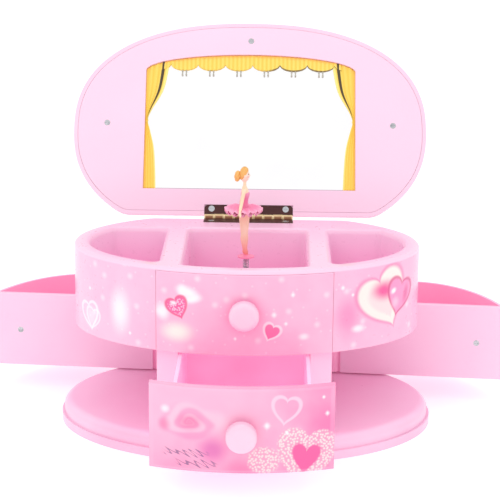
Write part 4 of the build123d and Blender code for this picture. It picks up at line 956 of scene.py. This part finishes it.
def make_hair(material):
    """Hair: the head's ovoid grown outwards, sunk below the skin over the face, with combed ridges;
    and a twisted bun behind, an ovoid with ridges that wind from end to end."""
    tilt, turn = ball(64, 84)
    dx, dy, dz = np.sin(tilt) * np.cos(turn), np.sin(tilt) * np.sin(turn), np.cos(tilt)
    brow = 0.62 * dx - 0.78 * dz - 0.05
    face = 1 / (1 + np.exp(-14 * (brow - 0.02)))
    grow = 1.12 + 0.018 * np.sin(26 * turn + 5 * tilt) - 0.26 * face
    x, y, z = head_half * grow * dx, head_half * 0.95 * grow * dy, head_tall * (grow - 0.02) * dz
    nape = np.clip(-dz - 0.45, 0, 1)
    x, y = x * (1 - 0.5 * nape), y * (1 - 0.5 * nape)
    points = np.stack([x, y, z], -1) + head_place
    make_piece("ballerina_hair", points, tube_faces(64, 84), "figure", material)
    tilt, turn = ball(48, 60)
    twist = 1 + 0.07 * np.sin(5 * turn + 7 * tilt)
    x = head_place[0] - 3.8 + 1.7 * twist * np.sin(tilt) * np.cos(turn)
    y = head_place[1] + 1.8 * twist * np.sin(tilt) * np.sin(turn)
    z = head_place[2] - 0.7 + 3.0 * np.cos(tilt) + 0.25 * (x - head_place[0] + 3.8)
    points = np.stack([x, y, z], -1)
    make_piece("ballerina_bun", points, tube_faces(48, 60), "figure", material)


def make_skirt(layer, height, radius, waves, material):
    """One net layer: a ring from the hips out to its hem, drooping with the square of the reach and
    rippled by waves that grow towards the hem; the profile closes underneath, a little lower."""
    hips, rows, columns, thick = 2.2, 26, 220, 0.24
    across = np.concatenate([np.linspace(hips, radius, rows), np.linspace(radius, hips, rows)])
    under = np.concatenate([np.zeros(rows), np.full(rows, thick)])
    reach, turn = np.meshgrid(across, ring_angles(columns), indexing="ij")
    share = (reach - hips) / (radius - hips)
    ripple = 0.75 * np.sin(waves * turn + layer) + 0.28 * np.sin(2.0 * waves * turn + 1.3 * layer)
    ripple = ripple * share ** 1.6
    z = height + 0.6 * np.sin(math.pi * share) - 1.1 * share ** 2 + ripple - under[:, None]
    hem = reach * (1 + 0.025 * np.sin(waves * turn + 0.7) * share)
    x = skirt_x + hem * np.cos(turn)
    y = figure_y + hem * np.sin(turn)
    uv = np.stack([turn / (2 * math.pi), share], -1)
    faces = grid_faces(2 * rows, columns, close_rows=True, close_columns=True)
    points = np.stack([x, y, z], -1)
    return make_piece(f"tutu_layer_{layer}", points, faces, "figure", material, uv)


def make_spring(material):
    """Coil spring: a wire circle carried up a helix, square to the helix, closed at both ends."""
    turns, radius, wire, rows, columns = 10.0, 1.5, 0.2, 361, 8
    rise = fold_place[2] - spring_start_z + 1.3
    t, a = np.meshgrid(np.linspace(0, 1, rows), ring_angles(columns), indexing="ij")
    angle = 2 * math.pi * turns * t
    out = radius + wire * np.cos(a)
    x, y = figure_x + out * np.cos(angle), figure_y + out * np.sin(angle)
    z = spring_start_z + wire + (rise - 2 * wire) * t + wire * np.sin(a)
    points = np.stack([x, y, z], -1)
    piece = make_piece("stand_spring", points, tube_faces(rows, columns), None, material)
    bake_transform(piece)
    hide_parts("figure_spring")


make_camera()
make_stage()

# -------- finishes on the CAD nodes
skin_paint = finish("doll_skin", [], build_skin, 0.05, Roughness=0.42)
face_paint = finish("doll_face", [], build_face, 0.05, Roughness=0.4)
hair_paint = finish("doll_hair", ["figure_hair"], build_hair, 0.35, Roughness=0.4)
net_paint = finish("tutu_net", ["figure_tutu"], build_cloth((248, 142, 184), (255, 182, 210)), 0.3,
                   Roughness=0.7)
satin_paint = finish("bodice_satin", [], build_cloth((238, 120, 165), (246, 160, 192)), 0.2, Roughness=0.35)
curtain_paint = finish("curtain_cloth", ["curtain_print"], build_curtain, 0.15, Roughness=0.6)

# the moulded plastics
finish("ring_print", ["upper_tray"], build_ring, 0.05, Coat_Weight=0.25, Coat_Roughness=0.15)
finish("ring_panel_print", ["upper_front_panel"], build_ring_panel, 0.05, Roughness=0.25, Coat_Weight=0.25)
finish("drawer_print", ["drawer_front"], build_drawer_print, 0.05, Roughness=0.25, Coat_Weight=0.25)
finish("lid_lining", ["lid_liner"], build_liner, 0.06)
finish("base_moulding", ["base_shell"], build_base, 0.06, Coat_Weight=0.15)
finish("storey_moulding", ["lower_housing"], build_housing, 0.06, Roughness=0.35)
finish("lid_moulding", ["lid_shell"], plastic((253, 208, 231), (255, 218, 238), (248, 190, 218)), 0.06)
# the tray bins carry a faint painted glow: emission at strength 0.1
finish("tray_moulding_painted_glow", ["left_tray_bin", "right_tray_bin"],
       glowing_plastic((252, 184, 216), (255, 200, 226), (246, 164, 202), (255, 140, 190)), 0.06,
       Emission_Strength=0.1)
finish("tray_front_moulding", ["left_tray_panel", "right_tray_panel"],
       plastic((253, 205, 232), (255, 220, 240), (246, 184, 218)), 0.06)
# the drawer bin carries a painted glow: emission at strength 0.5 brightens its shaded bay
finish("drawer_moulding_painted_glow", ["drawer_bin"],
       glowing_plastic((255, 198, 226), (255, 210, 234), (250, 180, 214), (255, 110, 134)), 0.06,
       Emission_Strength=0.5)
finish("knob_moulding", ["upper_knob", "drawer_knob"],
       plastic((244, 202, 225), (250, 214, 233), (236, 184, 214)), 0.05, Coat_Weight=0.3)
finish("floor_moulding", ["upper_floor", "base_cover", "key_bush", "spindle_bush"],
       plastic((250, 168, 206), (253, 186, 216), (238, 146, 190)), 0.06)
finish("toe_stand", ["figure_foot"], plastic((255, 140, 180), (255, 176, 205), (240, 110, 160)), 0.05)
# the mirror carries a faint painted glow: emission at strength 0.06
finish("mirror_silver", ["mirror_glass"], build_glass, Metallic=0.9, Emission_Strength=0.06)
finish("backing_board", ["mirror_backing", "hinge_pad"], build_card, 0.2, Roughness=0.8)

# the metals
finish("hinge_bronze", ["hinge_leaf_box", "hinge_leaf_lid", "hinge_pin"], build_hinge, 0.15, Metallic=0.35)
steel_nodes = [node for node in frame["nodes"] if "screw" in node or node in (
    "left_pivot_pin", "right_pivot_pin", "figure_spring", "comb", "mainspring", "movement_frame", "spindle")]
steel_paint = finish("bright_steel", steel_nodes, metal((206, 208, 212), (150, 152, 158), 0.26), 0.1,
                     Metallic=0.9)
brass_nodes = [node for node in frame["nodes"] if node in (
    "music_cylinder", "spring_barrel", "comb_block", "governor", "winding_arbor", "winding_key")]
finish("aged_brass", brass_nodes, metal((226, 190, 112), (168, 126, 62), 0.3), 0.1, Metallic=0.85)

# -------- curtains, valance and ties
gathers = finish("valance_cloth", [], build_valance, 0.15, Roughness=0.6)
bead_paint = finish("tassel_beads", [], plastic((176, 172, 160), (214, 208, 190), (110, 104, 100)), 0.1)
cloth_pieces = [make_curtain(1, curtain_paint), make_curtain(-1, curtain_paint), make_valance(gathers),
                make_tie(1, curtain_paint), make_tie(-1, curtain_paint), make_tassels(bead_paint)]
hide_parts("curtain_print")

# -------- the ballerina
leg = [(-1.0, 1.2, 26.5, 2.8, 1.6), (-1.0, 1.2, 21.0, 2.75, 1.6), (-0.9, 1.1, 13.6, 1.95, 1.3),
       (-0.9, 1.0, 10.0, 2.05, 1.25), (-0.6, 0.9, 4.8, 1.3, 0.9), (-0.35, 0.85, 2.9, 1.5, 0.85),
       (0.1, 0.75, 1.5, 0.95, 0.65)]
arm = [(-0.7, 1.6, 38.6, 0.95, 0.9), (-1.2, 3.0, 37.3, 1.15, 0.95), (-2.1, 5.0, 32.6, 0.95, 0.8),
       (-2.9, 7.8, 28.9, 0.88, 0.72), (-3.2, 9.7, 26.9, 0.62, 0.5), (-3.1, 10.6, 25.9, 0.8, 0.4),
       (-2.9, 11.6, 24.8, 0.3, 0.2)]
trunk = [(-0.9, 0, 24.0, 2.2, 2.4), (-1.0, 0, 26.5, 2.5, 2.8), (-0.9, 0, 30.6, 1.6, 1.75),
         (-0.65, 0, 34.6, 2.2, 2.35), (-0.8, 0, 37.2, 1.85, 2.6), (-1.0, 0, 38.8, 1.25, 1.9),
         (-0.9, 0, 39.9, 0.85, 0.9), (-0.9, 0, 43.0, 0.85, 0.85)]
dress_gap = 0.18
dress = [(x, y, z, wide + dress_gap, deep + dress_gap) for x, y, z, wide, deep in trunk[:4]]
dress += [(-0.65, 0, 36.0, 2.2, 2.45), (-0.7, 0, 36.4, 1.6, 2.0)]
for side, name in ((-1, "near"), (1, "far")):
    make_limb(f"leg_{name}", from_feet(leg, side), skin_paint)
    make_limb(f"arm_{name}", from_feet(arm, side), skin_paint, 60, 20)
torso = make_limb("torso", from_feet(trunk), skin_paint, 90, 40)
make_limb("bodice", from_feet(dress), satin_paint, 80, 48)
make_head(face_paint)
make_hair(hair_paint)
skirt_shapes = ((27.6, 10.2, 15), (26.9, 9.9, 13), (26.2, 9.3, 14))
skirts = [make_skirt(layer, feet_z + height, radius, waves, net_paint)
          for layer, (height, radius, waves) in enumerate(skirt_shapes)]
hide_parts("figure_body")
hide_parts("figure_tutu")
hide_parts("figure_hair")
make_spring(steel_paint)
